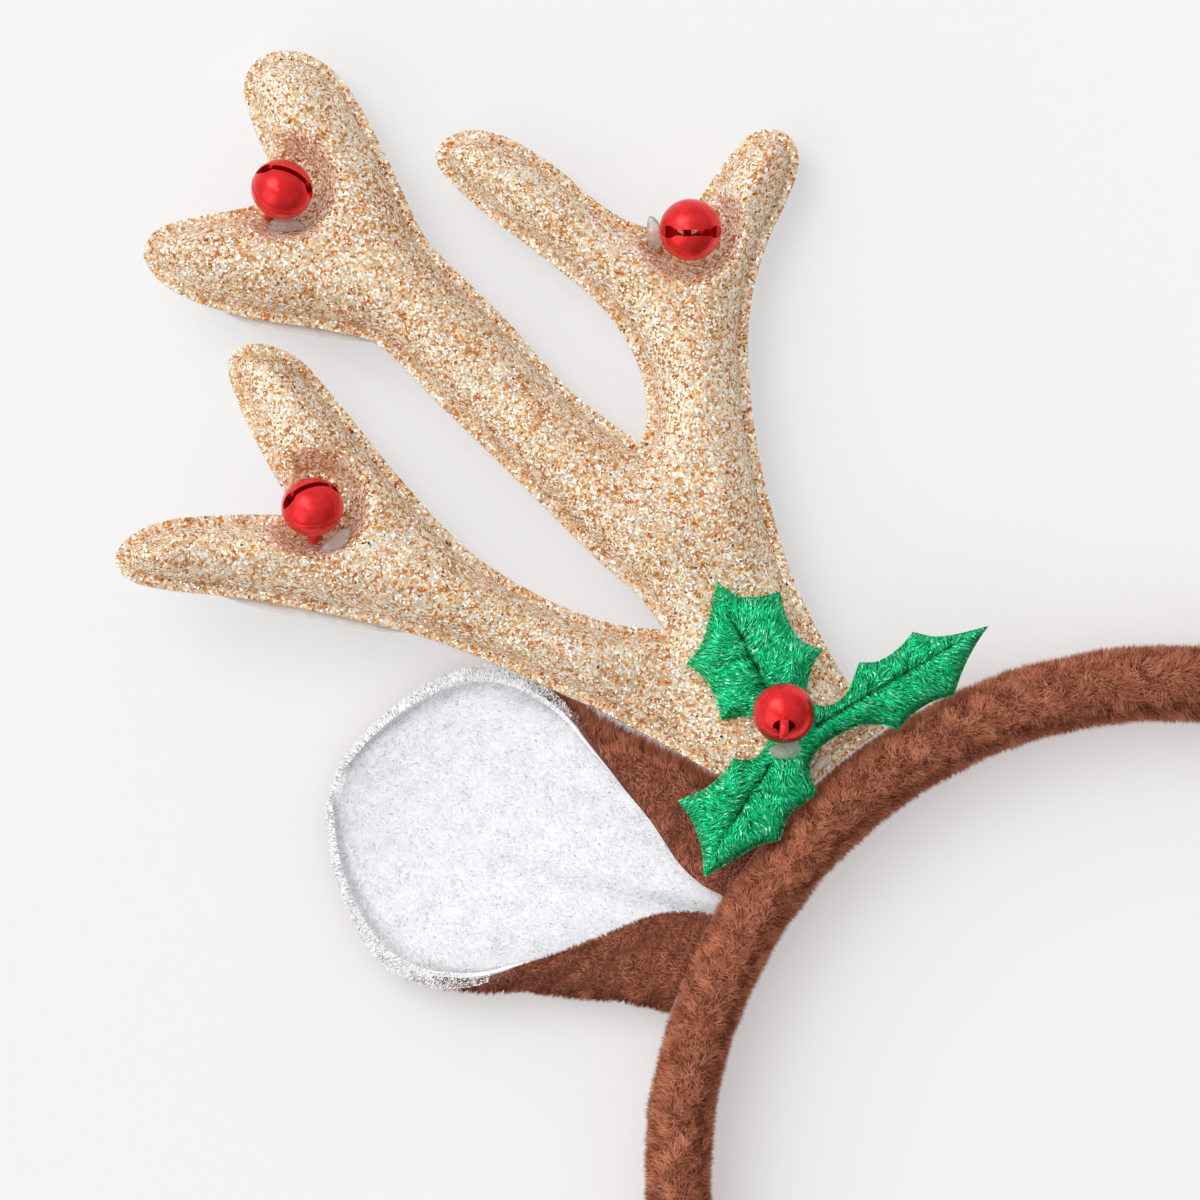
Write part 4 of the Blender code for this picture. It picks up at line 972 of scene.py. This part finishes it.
def build_antlers(front_material, backing_cloth):
    from_deg = ROOT_DEG + math.degrees(FOOT_BELOW_ROOT / (HOOP_OUTER_R + GAP))
    to_deg = ROOT_DEG - math.degrees(FOOT_ABOVE_ROOT / (HOOP_OUTER_R + GAP))
    foot = [on_hoop(degrees, GAP) for degrees in np.linspace(from_deg, to_deg, 5)]
    outline = np.concatenate([antler_points(ANTLER_OUTLINE), np.array(foot)])
    kinds = [row[2] for row in ANTLER_OUTLINE] + [CORNER, CURVE, CURVE, CURVE, CORNER]
    samples = fine_outline(outline, kinds, steps=20)
    ring = fine_outline(outline, kinds, steps=12)
    inner = rows_inside(ring, samples, ANTLER_ROWS, clear=0.96, spacing=0.3)
    points, faces = slab(
        ring,
        np.concatenate(inner + [grid_inside(ring, samples, least=3.5, spacing=0.8)]),
        [],
        lambda plan: off_middle(plan, front_height(plan, samples)),
        lambda plan: off_middle(plan, np.full(len(plan), HALF_GAP)),
    )
    wide = backing_edge(ring)
    both = np.concatenate([samples, wide])
    sunk = grid_inside(wide, both, least=1.2, spacing=2.2)
    edge_run = wide - outward_of(wide) * 0.6
    lip = thinned(edge_run[distance_to(both, edge_run) > 0.5], 0.9)

    def under(plan):
        depth = distance_to(wide, plan)
        fall = BACKING_THICK * smooth_step(depth, -0.4, 0.8) + BACKING_BULGE * pillow(depth / PUFF_FULL_WIDTH)
        return off_middle(plan, -(HALF_GAP + fall + BACKING_WAVES * wobble(plan, 6.0, 8)))

    back_points, back_faces = slab(
        wide,
        lip,
        np.concatenate([lip, sunk]),
        lambda plan: off_middle(plan, np.full(len(plan), -HALF_GAP)),
        under,
    )
    for sign in (-1, 1):
        side = side_name(sign)
        front = add_piece(
            "antler_front_" + side, points, faces, front_material, sign,
            ("antler_" + side,), sharp=60,
        )
        back = add_piece(
            "antler_back_" + side, back_points, back_faces, backing_cloth, sign,
            ("antler_backing_" + side,), sharp=60,
        )


def ear_rows(shares):
    """The ear's table read smoothly at each share."""
    table = np.array(EAR_STATIONS)
    xs = table[:, 0]
    made = [shares]
    for column in table[:, 1:].T:
        slope = np.diff(column) / np.diff(xs)
        tangent = np.concatenate([[slope[0]], (slope[1:] + slope[:-1]) / 2, [slope[-1]]])
        tangent[1:-1][slope[1:] * slope[:-1] <= 0] = 0.0
        i = np.clip(np.searchsorted(xs, shares, side="right") - 1, 0, len(xs) - 2)
        h = xs[i + 1] - xs[i]
        t = (shares - xs[i]) / h
        made.append(hermite(t, column[i], h * tangent[i], column[i + 1], h * tangent[i + 1]))
    return np.column_stack(made)


def ear_section(row):
    """Half a cross-section and its mirror: a flat stretch, the fold's arc and the flap past it."""
    _, centre, radius, turn, past, lift = row
    centre, past = centre * EAR_HALF_WIDTH, past * EAR_HALF_WIDTH
    radius, lift = radius * EAR_FOLD_R, lift * EAR_FOLD_R
    turn = math.radians(turn)
    flat = np.linspace(0, 1, 19)[1:]
    a = turn * np.linspace(0, 1, 15)[1:]
    more = past * np.linspace(0, 1, 9)[1:]
    x = [centre * flat, centre + radius * np.sin(a)]
    z = [np.zeros(len(flat)), radius * (1 - np.cos(a))]
    x.append(x[1][-1] + more * math.cos(turn))
    z.append(z[1][-1] + more * math.sin(turn))
    nx = [np.zeros(len(flat)), -np.sin(a), np.full(len(more), -math.sin(turn))]
    nz = [np.ones(len(flat)), np.cos(a), np.full(len(more), math.cos(turn))]
    x, z, nx, nz = (np.concatenate(part) for part in (x, z, nx, nz))
    both = lambda q, sign: np.concatenate([sign * q[::-1], [0.0 if sign < 0 else q[0]], q])
    return both(x, -1), both(z, 1) + lift, both(nx, -1), both(nz, 1)


def ear_grid(shares, offset, crease=None):
    """Rows of points on the ear at an offset from its middle line; crease raises and lowers the flat part."""
    ax, ay = EAR_AXIS
    hoop_r = HOOP_OUTER_R - EAR_INTO_PLUSH
    hoop_along = -(EAR_OUT * ax + EAR_UP * ay)
    hoop_across = EAR_OUT * ay - EAR_UP * ax
    base = EAR_CLEAR_OF_FLOOR + GAP + EAR_BACK_THICK
    rows = []
    for row in ear_rows(shares):
        x, z, nx, nz = ear_section(row)
        across = x + nx * offset
        height = base + z + nz * offset
        if crease:
            on_flat = smooth_step(row[1] * EAR_HALF_WIDTH - np.abs(x), -1.0, 2.5) * (nz > 0.9)
            height = height + crease(row[0], x) * on_flat
        along = np.full(len(x), row[0] * EAR_LENGTH)
        root = hoop_along + np.sqrt(hoop_r**2 - (across - hoop_across) ** 2)
        along = along + root * np.maximum(0.0, 1 - along / EAR_FOLLOWS_HOOP)
        out, up = EAR_OUT + along * ax - across * ay, EAR_UP + along * ay + across * ax
        rows.append(np.column_stack([out, up, height]))
    return np.array(rows)


def across_ear(points):
    """How far each point lies from the ear's long axis, in mm."""
    return (points[:, 1] - EAR_UP) * EAR_AXIS[0] - (points[:, 0] - EAR_OUT) * EAR_AXIS[1]


def sheet_of(low, high):
    """Closed sheet of triangles between two grids of the same size, all turned outward."""
    rows, columns = low.shape[:2]
    size, last_row, last_column = rows * columns, (rows - 1) * columns, columns - 1
    points = np.concatenate([low.reshape(-1, 3), high.reshape(-1, 3)])
    quads = grid_faces(rows, columns, False)
    faces = [quads, quads[:, ::-1] + size]
    down, along = np.arange(rows - 1) * columns, np.arange(columns - 1)
    for start, step, turned in (
        (down, columns, True),
        (down + last_column, columns, False),
        (along, 1, False),
        (along + last_row, 1, True),
    ):
        wall = np.stack([start, start + step, start + step + size, start + size], axis=1)
        faces.append(wall[:, ::-1] if turned else wall)
    faces = np.concatenate(faces)
    a, b, c, d = (points[faces[:, k]] for k in range(4))
    from_middle = a - points.mean(axis=0)
    volume = np.einsum("ij,ij->i", from_middle, np.cross(b - a, c - a)).sum()
    volume += np.einsum("ij,ij->i", from_middle, np.cross(c - a, d - a)).sum()
    return points, as_triangles(faces[:, ::-1] if volume < 0 else faces)


def pleats(share, x):
    """Soft folds that fan out from the gathered root."""
    fan = x / (6.0 + 20.0 * share)
    root = np.exp(-((share / 0.62) ** 2))
    gathered = (0.46 * np.sin(8.0 * fan + 0.6) + 0.16 * np.sin(14.0 * fan + 2.0)) * root
    return gathered + 0.12 * np.sin(4.0 * fan + 6 * share)


def brown_ear_fibres(low, high, shares, rng):
    """The pile of the ear's back, which shows where its sides are folded over, and of its two cut edges."""
    spots = scatter(low[:, ::-1], EAR_FIBRES, rng)
    if spots.normal[np.argmin(spots.place[:, 2])][2] > 0:
        spots = spots._replace(normal=-spots.normal)
    share = np.interp(spots.row, np.arange(len(shares)), shares)
    underneath = spots.normal[:, 2] < -0.5
    kept = (share < BROWN_UNTIL + BROWN_RAGGED * rng.random(len(share))) | underneath
    spots = Spots(*(part[kept] for part in spots))
    share = share[kept]
    shade = EAR_SHADE * (1.0 + EAR_PATCHES * wobble(np.column_stack([spots.u, spots.v]), 1.6, 51))
    # Painted shade: the lower half of the ear's back is darker.
    shade = shade * np.where(across_ear(spots.place) < 0, EAR_LOW_HALF_SHADE, 1.0)
    facing_antler = spots.normal @ np.array((-EAR_AXIS[1], EAR_AXIS[0], 0.0))
    fringe = EAR_FRINGE * smooth_step(facing_antler, 0.3, 0.8) * (1 - smooth_step(share, 0.45, 0.6))
    parts = [pile(spots, rng, EAR_FIBRE_LENGTH + fringe, shade, **EAR_LIE)]
    folded = int(np.searchsorted(shares, EDGE_UNTIL))
    # Painted shade: the lower cut edge is darker than the upper one.
    for column, shade in ((0, 0.7), (-1, 0.9)):
        strip = np.stack([low[:folded, column], high[:folded, column]], axis=1)
        edge = scatter(strip, EDGE_FIBRES, rng)
        parts.append(pile(edge, rng, EDGE_FIBRE_LENGTH, shade, **EDGE_LIE))
    return joined(parts)


def white_ear_fibres(lining, back_low, shares, rng):
    """The pile of the lining, with painted shade between pleats, and of its rim where the ear lies open, with
    painted light.
    """
    tops = scatter(lining, LINING_FIBRES, rng)
    if tops.normal[:, 2].mean() < 0:
        tops = tops._replace(normal=-tops.normal)
    share = np.interp(tops.row, np.arange(len(shares)), shares)
    # Painted shade: the fibres are darker in the pleats' valleys.
    light = LINING_LIGHT - PLEAT_SHADE * smooth_step(-pleats(share, across_ear(tops.place)), 0.0, 0.6)
    parts = [pile(tops, rng, LINING_FIBRE_LENGTH, light, **LINING_LIE)]
    middle = lining.reshape(-1, 3).mean(axis=0)
    open_from = int(np.searchsorted(shares, RIM_FROM))
    high, low = lining[open_from:], back_low[open_from:]
    grow = np.clip((shares[open_from:-1] - RIM_FROM) / RIM_FADES_OVER, 0.0, 1.0)
    fading_in = np.repeat(grow[:, None], 3, axis=1)
    for strip, count, weight in (
        ([high[:, 3], high[:, 1], high[:, 0], low[:, 0]], RIM_SIDE_FIBRES, fading_in),
        ([high[:, -4], high[:, -2], high[:, -1], low[:, -1]], RIM_SIDE_FIBRES, fading_in),
        ([high[-3], high[-1], low[-1]], RIM_TIP_FIBRES, None),
    ):
        rim = scatter(np.stack(strip, axis=1), count, rng, weight=weight)
        away = rim.place - middle
        away /= np.linalg.norm(away[:, :2], axis=1)[:, None]
        away[:, 2] = 0.8
        inward = np.einsum("ij,ij->i", rim.normal, away) < 0
        normal = np.where(inward[:, None], -rim.normal, rim.normal)
        rim = rim._replace(normal=unit(normal + 0.5 * away))
        # Painted light: the rim's fibres are brightened and marked for extra glow.
        points, normals, tone = pile(rim, rng, RIM_FIBRE_LENGTH, RIM_LIGHT, **RIM_LIE)
        parts.append((points, unit(normals + (0.0, 0.0, 1.6)), tone + RIM_TONE))
    return joined(parts)


def build_ears(brown_ground, brown_pile, white_ground, white_pile):
    shares = np.concatenate([np.linspace(0, 0.93, 54), np.linspace(0.945, 1.0, 8)])
    back_low = ear_grid(shares, -GAP - EAR_BACK_THICK + EAR_PILE * 0.75)
    back_high = ear_grid(shares, -GAP)
    lining_low = ear_grid(shares, 0.0)
    lining_high = ear_grid(shares, EAR_LINING_THICK - LINING_PILE * 0.5, pleats)
    back, back_faces = sheet_of(back_low, back_high)
    lining, lining_faces = sheet_of(lining_low, lining_high)
    rng = np.random.default_rng(41)
    brown = brown_ear_fibres(back_low, back_high, shares, rng)
    white = white_ear_fibres(lining_high, back_low, shares, rng)
    for sign in (-1, 1):
        side = side_name(sign)
        brown_sheet = add_piece(
            "ear_cloth_" + side, back, back_faces, brown_ground, sign,
            ("ear_back_" + side,), sharp=70,
        )
        white_sheet = add_piece(
            "ear_inside_" + side, lining, lining_faces, white_ground, sign,
            ("ear_lining_" + side,), sharp=70,
        )
        add_fibres("ear_pile_" + side, brown, brown_pile, sign)
        add_fibres("ear_inside_pile_" + side, white, white_pile, sign)


def holly_points(rows):
    return np.array([(HOLLY_OUT + row[0] * HOLLY_REACH, HOLLY_UP + row[1] * HOLLY_REACH) for row in rows])


def to_segment(plan, start, end):
    way = end - start
    t = np.clip((plan - start) @ way / (way @ way), 0, 1)
    return np.hypot(*(plan - start - t[:, None] * way).T), t


def holly_veins(rows=HOLLY_VEINS):
    for x0, y0, x1, y1, deep, half in rows:
        start, end = holly_points([(x0, y0), (x1, y1)])
        yield start, end, deep, half


def holly_height(plan, samples):
    """Height of the leaves over HOLLY_Z: embossed, with grooves for the veins."""
    depth = distance_to(samples, plan)
    height = HOLLY_THICK - HOLLY_EDGE_DROP + HOLLY_EDGE_DROP * smooth_step(depth, 0, 0.4)
    height = height + HOLLY_EMBOSS * pillow((depth - 0.35) / HOLLY_FULL_WIDTH)
    height = height + HOLLY_WAVES * wobble(plan, 3.0, 14) * smooth_step(depth, 0.4, 2.0)
    for start, end, deep, half in holly_veins():
        away, t = to_segment(plan, start, end)
        taper = 1 - 0.6 * t
        height = height - deep * taper * np.exp(-((away / half) ** 2)) * smooth_step(depth, 0.3, 1.2)
        height = height - deep * 0.5 * np.exp(-((away / (half * 3.5)) ** 2)) * smooth_step(depth, 0.3, 1.6)
    return height


def holly_grain(plan):
    """Direction of the satin strokes, which fan away from the nearest midrib."""
    best = np.full(len(plan), FAR)
    way = np.zeros((len(plan), 2))
    for start, end, _, _ in holly_veins(HOLLY_VEINS[:3]):
        along = (end - start) / np.linalg.norm(end - start)
        away, _ = to_segment(plan, start, end)
        side = (plan - start) @ np.array((-along[1], along[0]))
        turned = np.radians(STROKE_FAN_DEG) * np.sign(side)
        c, s = np.cos(turned), np.sin(turned)
        vane = np.column_stack([along[0] * c - along[1] * s, along[0] * s + along[1] * c])
        closer = away < best
        best[closer] = away[closer]
        way[closer] = vane[closer]
    angle = np.arctan2(way[:, 1], way[:, 0]) + 0.55 * wobble(plan, 2.6, 17)
    return np.column_stack([np.cos(angle), np.sin(angle)])


def build_holly(foil, cut_edge):
    outline = holly_points(HOLLY_OUTLINE)
    kinds = [row[2] for row in HOLLY_OUTLINE]
    samples = fine_outline(outline, kinds, steps=16)
    ring = fine_outline(outline, kinds, steps=6)
    inner = rows_inside(ring, samples, HOLLY_ROWS, clear=0.95, spacing=0.25)
    points, faces = slab(
        ring,
        np.concatenate(inner + [grid_inside(ring, samples, least=1.2, spacing=0.36)]),
        [],
        lambda plan: np.column_stack([plan, HOLLY_Z + holly_height(plan, samples)]),
        lambda plan: np.column_stack([plan, np.full(len(plan), HOLLY_Z)]),
    )
    # Painted shade: the leaves darken along the veins' grooves, through the tone below.
    vein = np.ones(len(points))
    for start, end, deep, half in holly_veins():
        away, _ = to_segment(points[:, :2], start, end)
        vein = np.minimum(vein, 1 - 2.1 * deep * np.exp(-((away / (half * 0.8)) ** 2)))
    corners = points[faces]
    wall = np.ptp(corners[:, :, 2], axis=1) > 0.25
    wall &= distance_to(samples, corners[:, :, :2].mean(axis=1)) < 0.12
    flat = (corners[:, :, 2] < HOLLY_Z + 1e-6).all(axis=1)
    for sign in (-1, 1):
        side = side_name(sign)
        piece = add_piece(
            "holly_leaves_" + side, points, faces, foil, sign, ("holly_" + side,), sharp=50,
            tone=vein, grain=holly_grain(points[:, :2]),
        )
        piece.data.materials.append(cut_edge)
        piece.data.polygons.foreach_set("material_index", (wall | flat).astype(np.int32))


def helper(name, bm):
    mesh = bpy.data.meshes.new(name)
    bm.to_mesh(mesh)
    bm.free()
    return linked(name, mesh)


def turned_ball(radius, half_height, around, rings, seam):
    """A ball of two pressed halves, with a fine joint round its middle where seam is over 0."""
    bm = bmesh.new()
    low = bm.verts.new((0, 0, -half_height * MM))
    rows = []
    angles = list(np.linspace(-math.pi / 2, math.pi / 2, rings + 1)[1:-1])
    if seam:
        angles = sorted([a for a in angles if abs(a) > BELL_JOINT_CLEAR] + BELL_JOINT_ANGLES)
    for a in angles:
        r = radius * math.cos(a) - seam * math.exp(-((a / BELL_JOINT_SPREAD) ** 2))
        z = half_height * math.sin(a)
        turns = [2 * math.pi * k / around for k in range(around)]
        rows.append([bm.verts.new((r * math.cos(t) * MM, r * math.sin(t) * MM, z * MM)) for t in turns])
    high = bm.verts.new((0, 0, half_height * MM))
    for lower, upper in zip(rows, rows[1:]):
        for k in range(around):
            n = (k + 1) % around
            bm.faces.new((lower[k], lower[n], upper[n], upper[k]))
    for k in range(around):
        n = (k + 1) % around
        bm.faces.new((low, rows[0][n], rows[0][k]))
        bm.faces.new((high, rows[-1][k], rows[-1][n]))
    return bm


def loop_ring(around, across):
    bm = bmesh.new()
    centre_z = -BELL_HALF_HEIGHT - LOOP_R * LOOP_DROP
    rows = []
    for i in range(around):
        a = 2 * math.pi * i / around
        row = []
        for j in range(across):
            b = 2 * math.pi * j / across
            r = LOOP_R + LOOP_WIRE_R * math.cos(b)
            x = LOOP_WIRE_R * LOOP_WIRE_WIDENED * math.sin(b)
            spot = (x, r * math.sin(a), centre_z + r * math.cos(a))
            row.append(bm.verts.new(Vector(spot) * MM))
        rows.append(row)
    for i in range(around):
        for j in range(across):
            here, there = rows[i], rows[(i + 1) % around]
            k = (j + 1) % across
            bm.faces.new((here[j], there[j], there[k], here[k]))
    bmesh.ops.recalc_face_normals(bm, faces=bm.faces)
    return bm


def pin(name, sides, radius, depth, spot, stretch=(1.0, 1.0, 1.0)):
    """A round cutter that stands up, with its sizes and its middle in mm."""
    bm = bmesh.new()
    radius, depth = radius * MM, depth * MM
    bmesh.ops.create_cone(bm, cap_ends=True, segments=sides, radius1=radius, radius2=radius, depth=depth)
    bmesh.ops.scale(bm, vec=Vector(stretch), verts=bm.verts)
    bmesh.ops.translate(bm, vec=Vector(spot) * MM, verts=bm.verts)
    return helper(name, bm)


def bell_mesh():
    """A hollow bell with a slot between two holes at one end and a loop with its eye at the other."""
    shape = helper("bell_shape", turned_ball(BELL_R, BELL_HALF_HEIGHT, around=56, rings=36, seam=BELL_JOINT))
    loop = helper("bell_loop", loop_ring(around=24, across=12))
    inside = turned_ball(BELL_R - BELL_WALL, BELL_HALF_HEIGHT - BELL_WALL, around=28, rings=16, seam=0)
    slot = bmesh.new()
    bmesh.ops.create_cube(slot, size=1.0)
    bmesh.ops.scale(slot, vec=Vector((BELL_HOLE_AT * 2, BELL_SLOT, BELL_CUT_DEPTH)) * MM, verts=slot.verts)
    bmesh.ops.translate(slot, vec=Vector((0, 0, BELL_HALF_HEIGHT)) * MM, verts=slot.verts)
    cutters = [helper("bell_hollow", inside), helper("bell_slot", slot)]
    for number, side in enumerate((-1, 1)):
        spot = (side * BELL_HOLE_AT, 0, BELL_HALF_HEIGHT * 0.98)
        cutters.append(pin("bell_hole_%d" % number, 24, BELL_HOLE_R, BELL_CUT_DEPTH, spot))
    cutters.append(pin("bell_eye", 28, 1.0, BELL_HALF_HEIGHT, (0, 0, -BELL_HALF_HEIGHT), BELL_EYE))
    for other, operation in [(c, "DIFFERENCE") for c in cutters] + [(loop, "UNION")]:
        modifier = shape.modifiers.new(other.name, "BOOLEAN")
        modifier.operation = operation
        modifier.solver = "EXACT"
        modifier.object = other
    bpy.context.view_layer.update()
    graph = bpy.context.evaluated_depsgraph_get()
    mesh = bpy.data.meshes.new_from_object(shape.evaluated_get(graph))
    for obj in [shape, loop] + cutters:
        bpy.data.objects.remove(obj, do_unlink=True)
    mesh.calc_loop_triangles()
    points = np.array([v.co for v in mesh.vertices]) / MM
    return points, np.array([tuple(t.vertices) for t in mesh.loop_triangles])


def bell_turn(heading, lift, spin):
    heading, lift = math.radians(heading), math.radians(lift)
    aim = Vector((math.cos(lift) * math.cos(heading), math.cos(lift) * math.sin(heading), math.sin(lift)))
    across = Vector((-math.sin(heading), math.cos(heading), 0.0))
    turn = Matrix((across, aim.cross(across), aim)).transposed()
    return np.array(turn @ Matrix.Rotation(math.radians(spin), 3, "Z"))


def glue_drop(spot, heading, seed, size=1.0):
    """An uneven smear of glue."""
    bm = bmesh.new()
    bmesh.ops.create_icosphere(bm, subdivisions=4, radius=1.0)
    points = np.array([v.co for v in bm.verts])
    faces = np.array([tuple(v.index for v in face.verts) for face in bm.faces])
    bm.free()
    points *= 1 + 0.16 * wobble(points, 0.9, seed)[:, None] + 0.05 * wobble(points, 0.35, seed + 1)[:, None]
    points = points * (GLUE_HALF_LENGTH, GLUE_HALF_WIDTH * GLUE_SPREAD, GLUE_HALF_HEIGHT) * size
    c, s = math.cos(heading), math.sin(heading)
    return points @ np.array(((c, s, 0), (-s, c, 0), (0, 0, 1))) + spot, faces


def build_bells(red, clear):
    """Each bell reaches as high as its solid, and each smear lies at the height of its own."""
    bell, bell_faces = bell_mesh()
    for number, (row, place) in enumerate(zip(BELLS, bell_places())):
        name, _, _, heading, lift, spin, glue_out, glue_up = row
        box, glue_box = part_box("bell_%s_left" % name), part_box("glue_%s_left" % name)
        turned = bell @ bell_turn(heading, lift, spin).T
        turned = turned + (place[0], place[1], box[1][2] / MM - turned[:, 2].max())
        glue_plan = place + BELL_R * np.array((glue_out, glue_up))
        spot = np.array((*glue_plan, (glue_box[0][2] + glue_box[1][2]) / 2 / MM))
        drop, drop_faces = glue_drop(spot, math.atan2(glue_out, -glue_up), 100 + number)
        for sign in (-1, 1):
            side = side_name(sign)
            add_piece(
                "jingle_bell_%s_%s" % (name, side), turned, bell_faces, red, sign,
                ("bell_%s_%s" % (name, side),), sharp=32,
            )
            add_piece(
                "glue_smear_%s_%s" % (name, side), drop, drop_faces, clear, sign,
                ("glue_%s_%s" % (name, side),),
            )
    foot_deg = ROOT_DEG + math.degrees((FOOT_BELOW_ROOT - FOOT_ABOVE_ROOT) / 2 / (HOOP_OUTER_R + GAP))
    spot = np.array((*on_hoop(foot_deg, ROOT_GLUE_BEYOND_HOOP), HOLLY_Z - GAP - GLUE_HALF_HEIGHT))
    drop, drop_faces = glue_drop(spot, -math.radians(foot_deg), 120, ROOT_GLUE_SIZE)
    for sign in (-1, 1):
        name, nodes = "glue_smear_root_" + side_name(sign), ("glue_root_" + side_name(sign),)
        add_piece(name, drop, drop_faces, clear, sign, nodes)


def build_studio():
    """A pale floor, three suns from the left, air brighter toward the key light, and the camera."""
    material, tree, shader, place = new_material("studio_floor")
    colour = ramp(tree, noise(tree, place, 8.0), ((0.0, (0.555, 0.555, 0.555)), (1.0, (0.565, 0.565, 0.565))))
    connect(tree, shader, {
        "Base Color": colour,
        "Roughness": 0.9,
        "Specular IOR Level": 0.1,
        "Emission Color": WHITE,
        "Emission Strength": FLOOR_GLOW,
    })
    material.cycles.emission_sampling = "NONE"
    mesh = bpy.data.meshes.new("studio_floor")
    mesh.from_pydata([(-4, -4, 0), (4, -4, 0), (4, 4, 0), (-4, 4, 0)], [], [(0, 1, 2, 3)])
    mesh.materials.append(material)
    floor = linked("studio_floor", mesh)

    for name, way, lift, energy, spread in SUNS:
        light = bpy.data.lights.new(name, "SUN")
        light.energy = energy
        light.angle = math.radians(spread)
        lamp = linked(name, light)
        flat = math.cos(math.radians(lift))
        toward = Vector((way[0] * flat, way[1] * flat, math.sin(math.radians(lift)))).normalized()
        lamp.rotation_euler = toward.to_track_quat("Z", "Y").to_euler()
        lamp.location = toward

    world = bpy.data.worlds.new("studio_air")
    world.use_nodes = True
    air = world.node_tree
    way = node(air, "ShaderNodeTexCoord").outputs["Generated"]
    toward_key = vector_node(air, "DOT_PRODUCT", way, (-0.55, 0.50, 0.67), "Value")
    strength = math_node(air, "MULTIPLY_ADD", toward_key, AIR_GRADE, AIR_STRENGTH)
    connect(air, air.nodes["Background"], {"Color": WHITE, "Strength": strength})
    bpy.context.scene.world = world

    camera = linked("camera", bpy.data.cameras.new("camera"))
    frame_width, distance, table_z, sensor = 0.160, 1.8, 0.008, 36.0
    camera.location = (-0.07667, 0.036, table_z + distance)
    camera.data.sensor_width = sensor
    camera.data.lens = sensor * distance / frame_width
    camera.data.clip_end = 20.0
    bpy.context.scene.camera = camera
    bpy.context.scene.view_settings.view_transform = "Standard"


build_studio()
# The glows given below are painted light: emission that brightens the piles and the white ground against
# their own shade.
brown_pile = plush_material("brown_pile", BROWN_TINTS, 0.10)
white_pile = plush_material("white_pile", WHITE_TINTS, 0.14, 0.16)
brown_ground = ground_material("brown_ground", (0.12, 0.036, 0.020), (0.22, 0.070, 0.038), 0.2)
white_ground = ground_material("white_ground", (0.92, 0.92, 0.95), (0.96, 0.96, 0.98), 0.1, 0.10)
build_band(brown_ground, brown_pile)
build_antlers(glitter_material(), backing_material())
build_ears(brown_ground, brown_pile, white_ground, white_pile)
build_holly(foil_material(), foil_edge_material())
build_bells(bell_material(), glue_material())
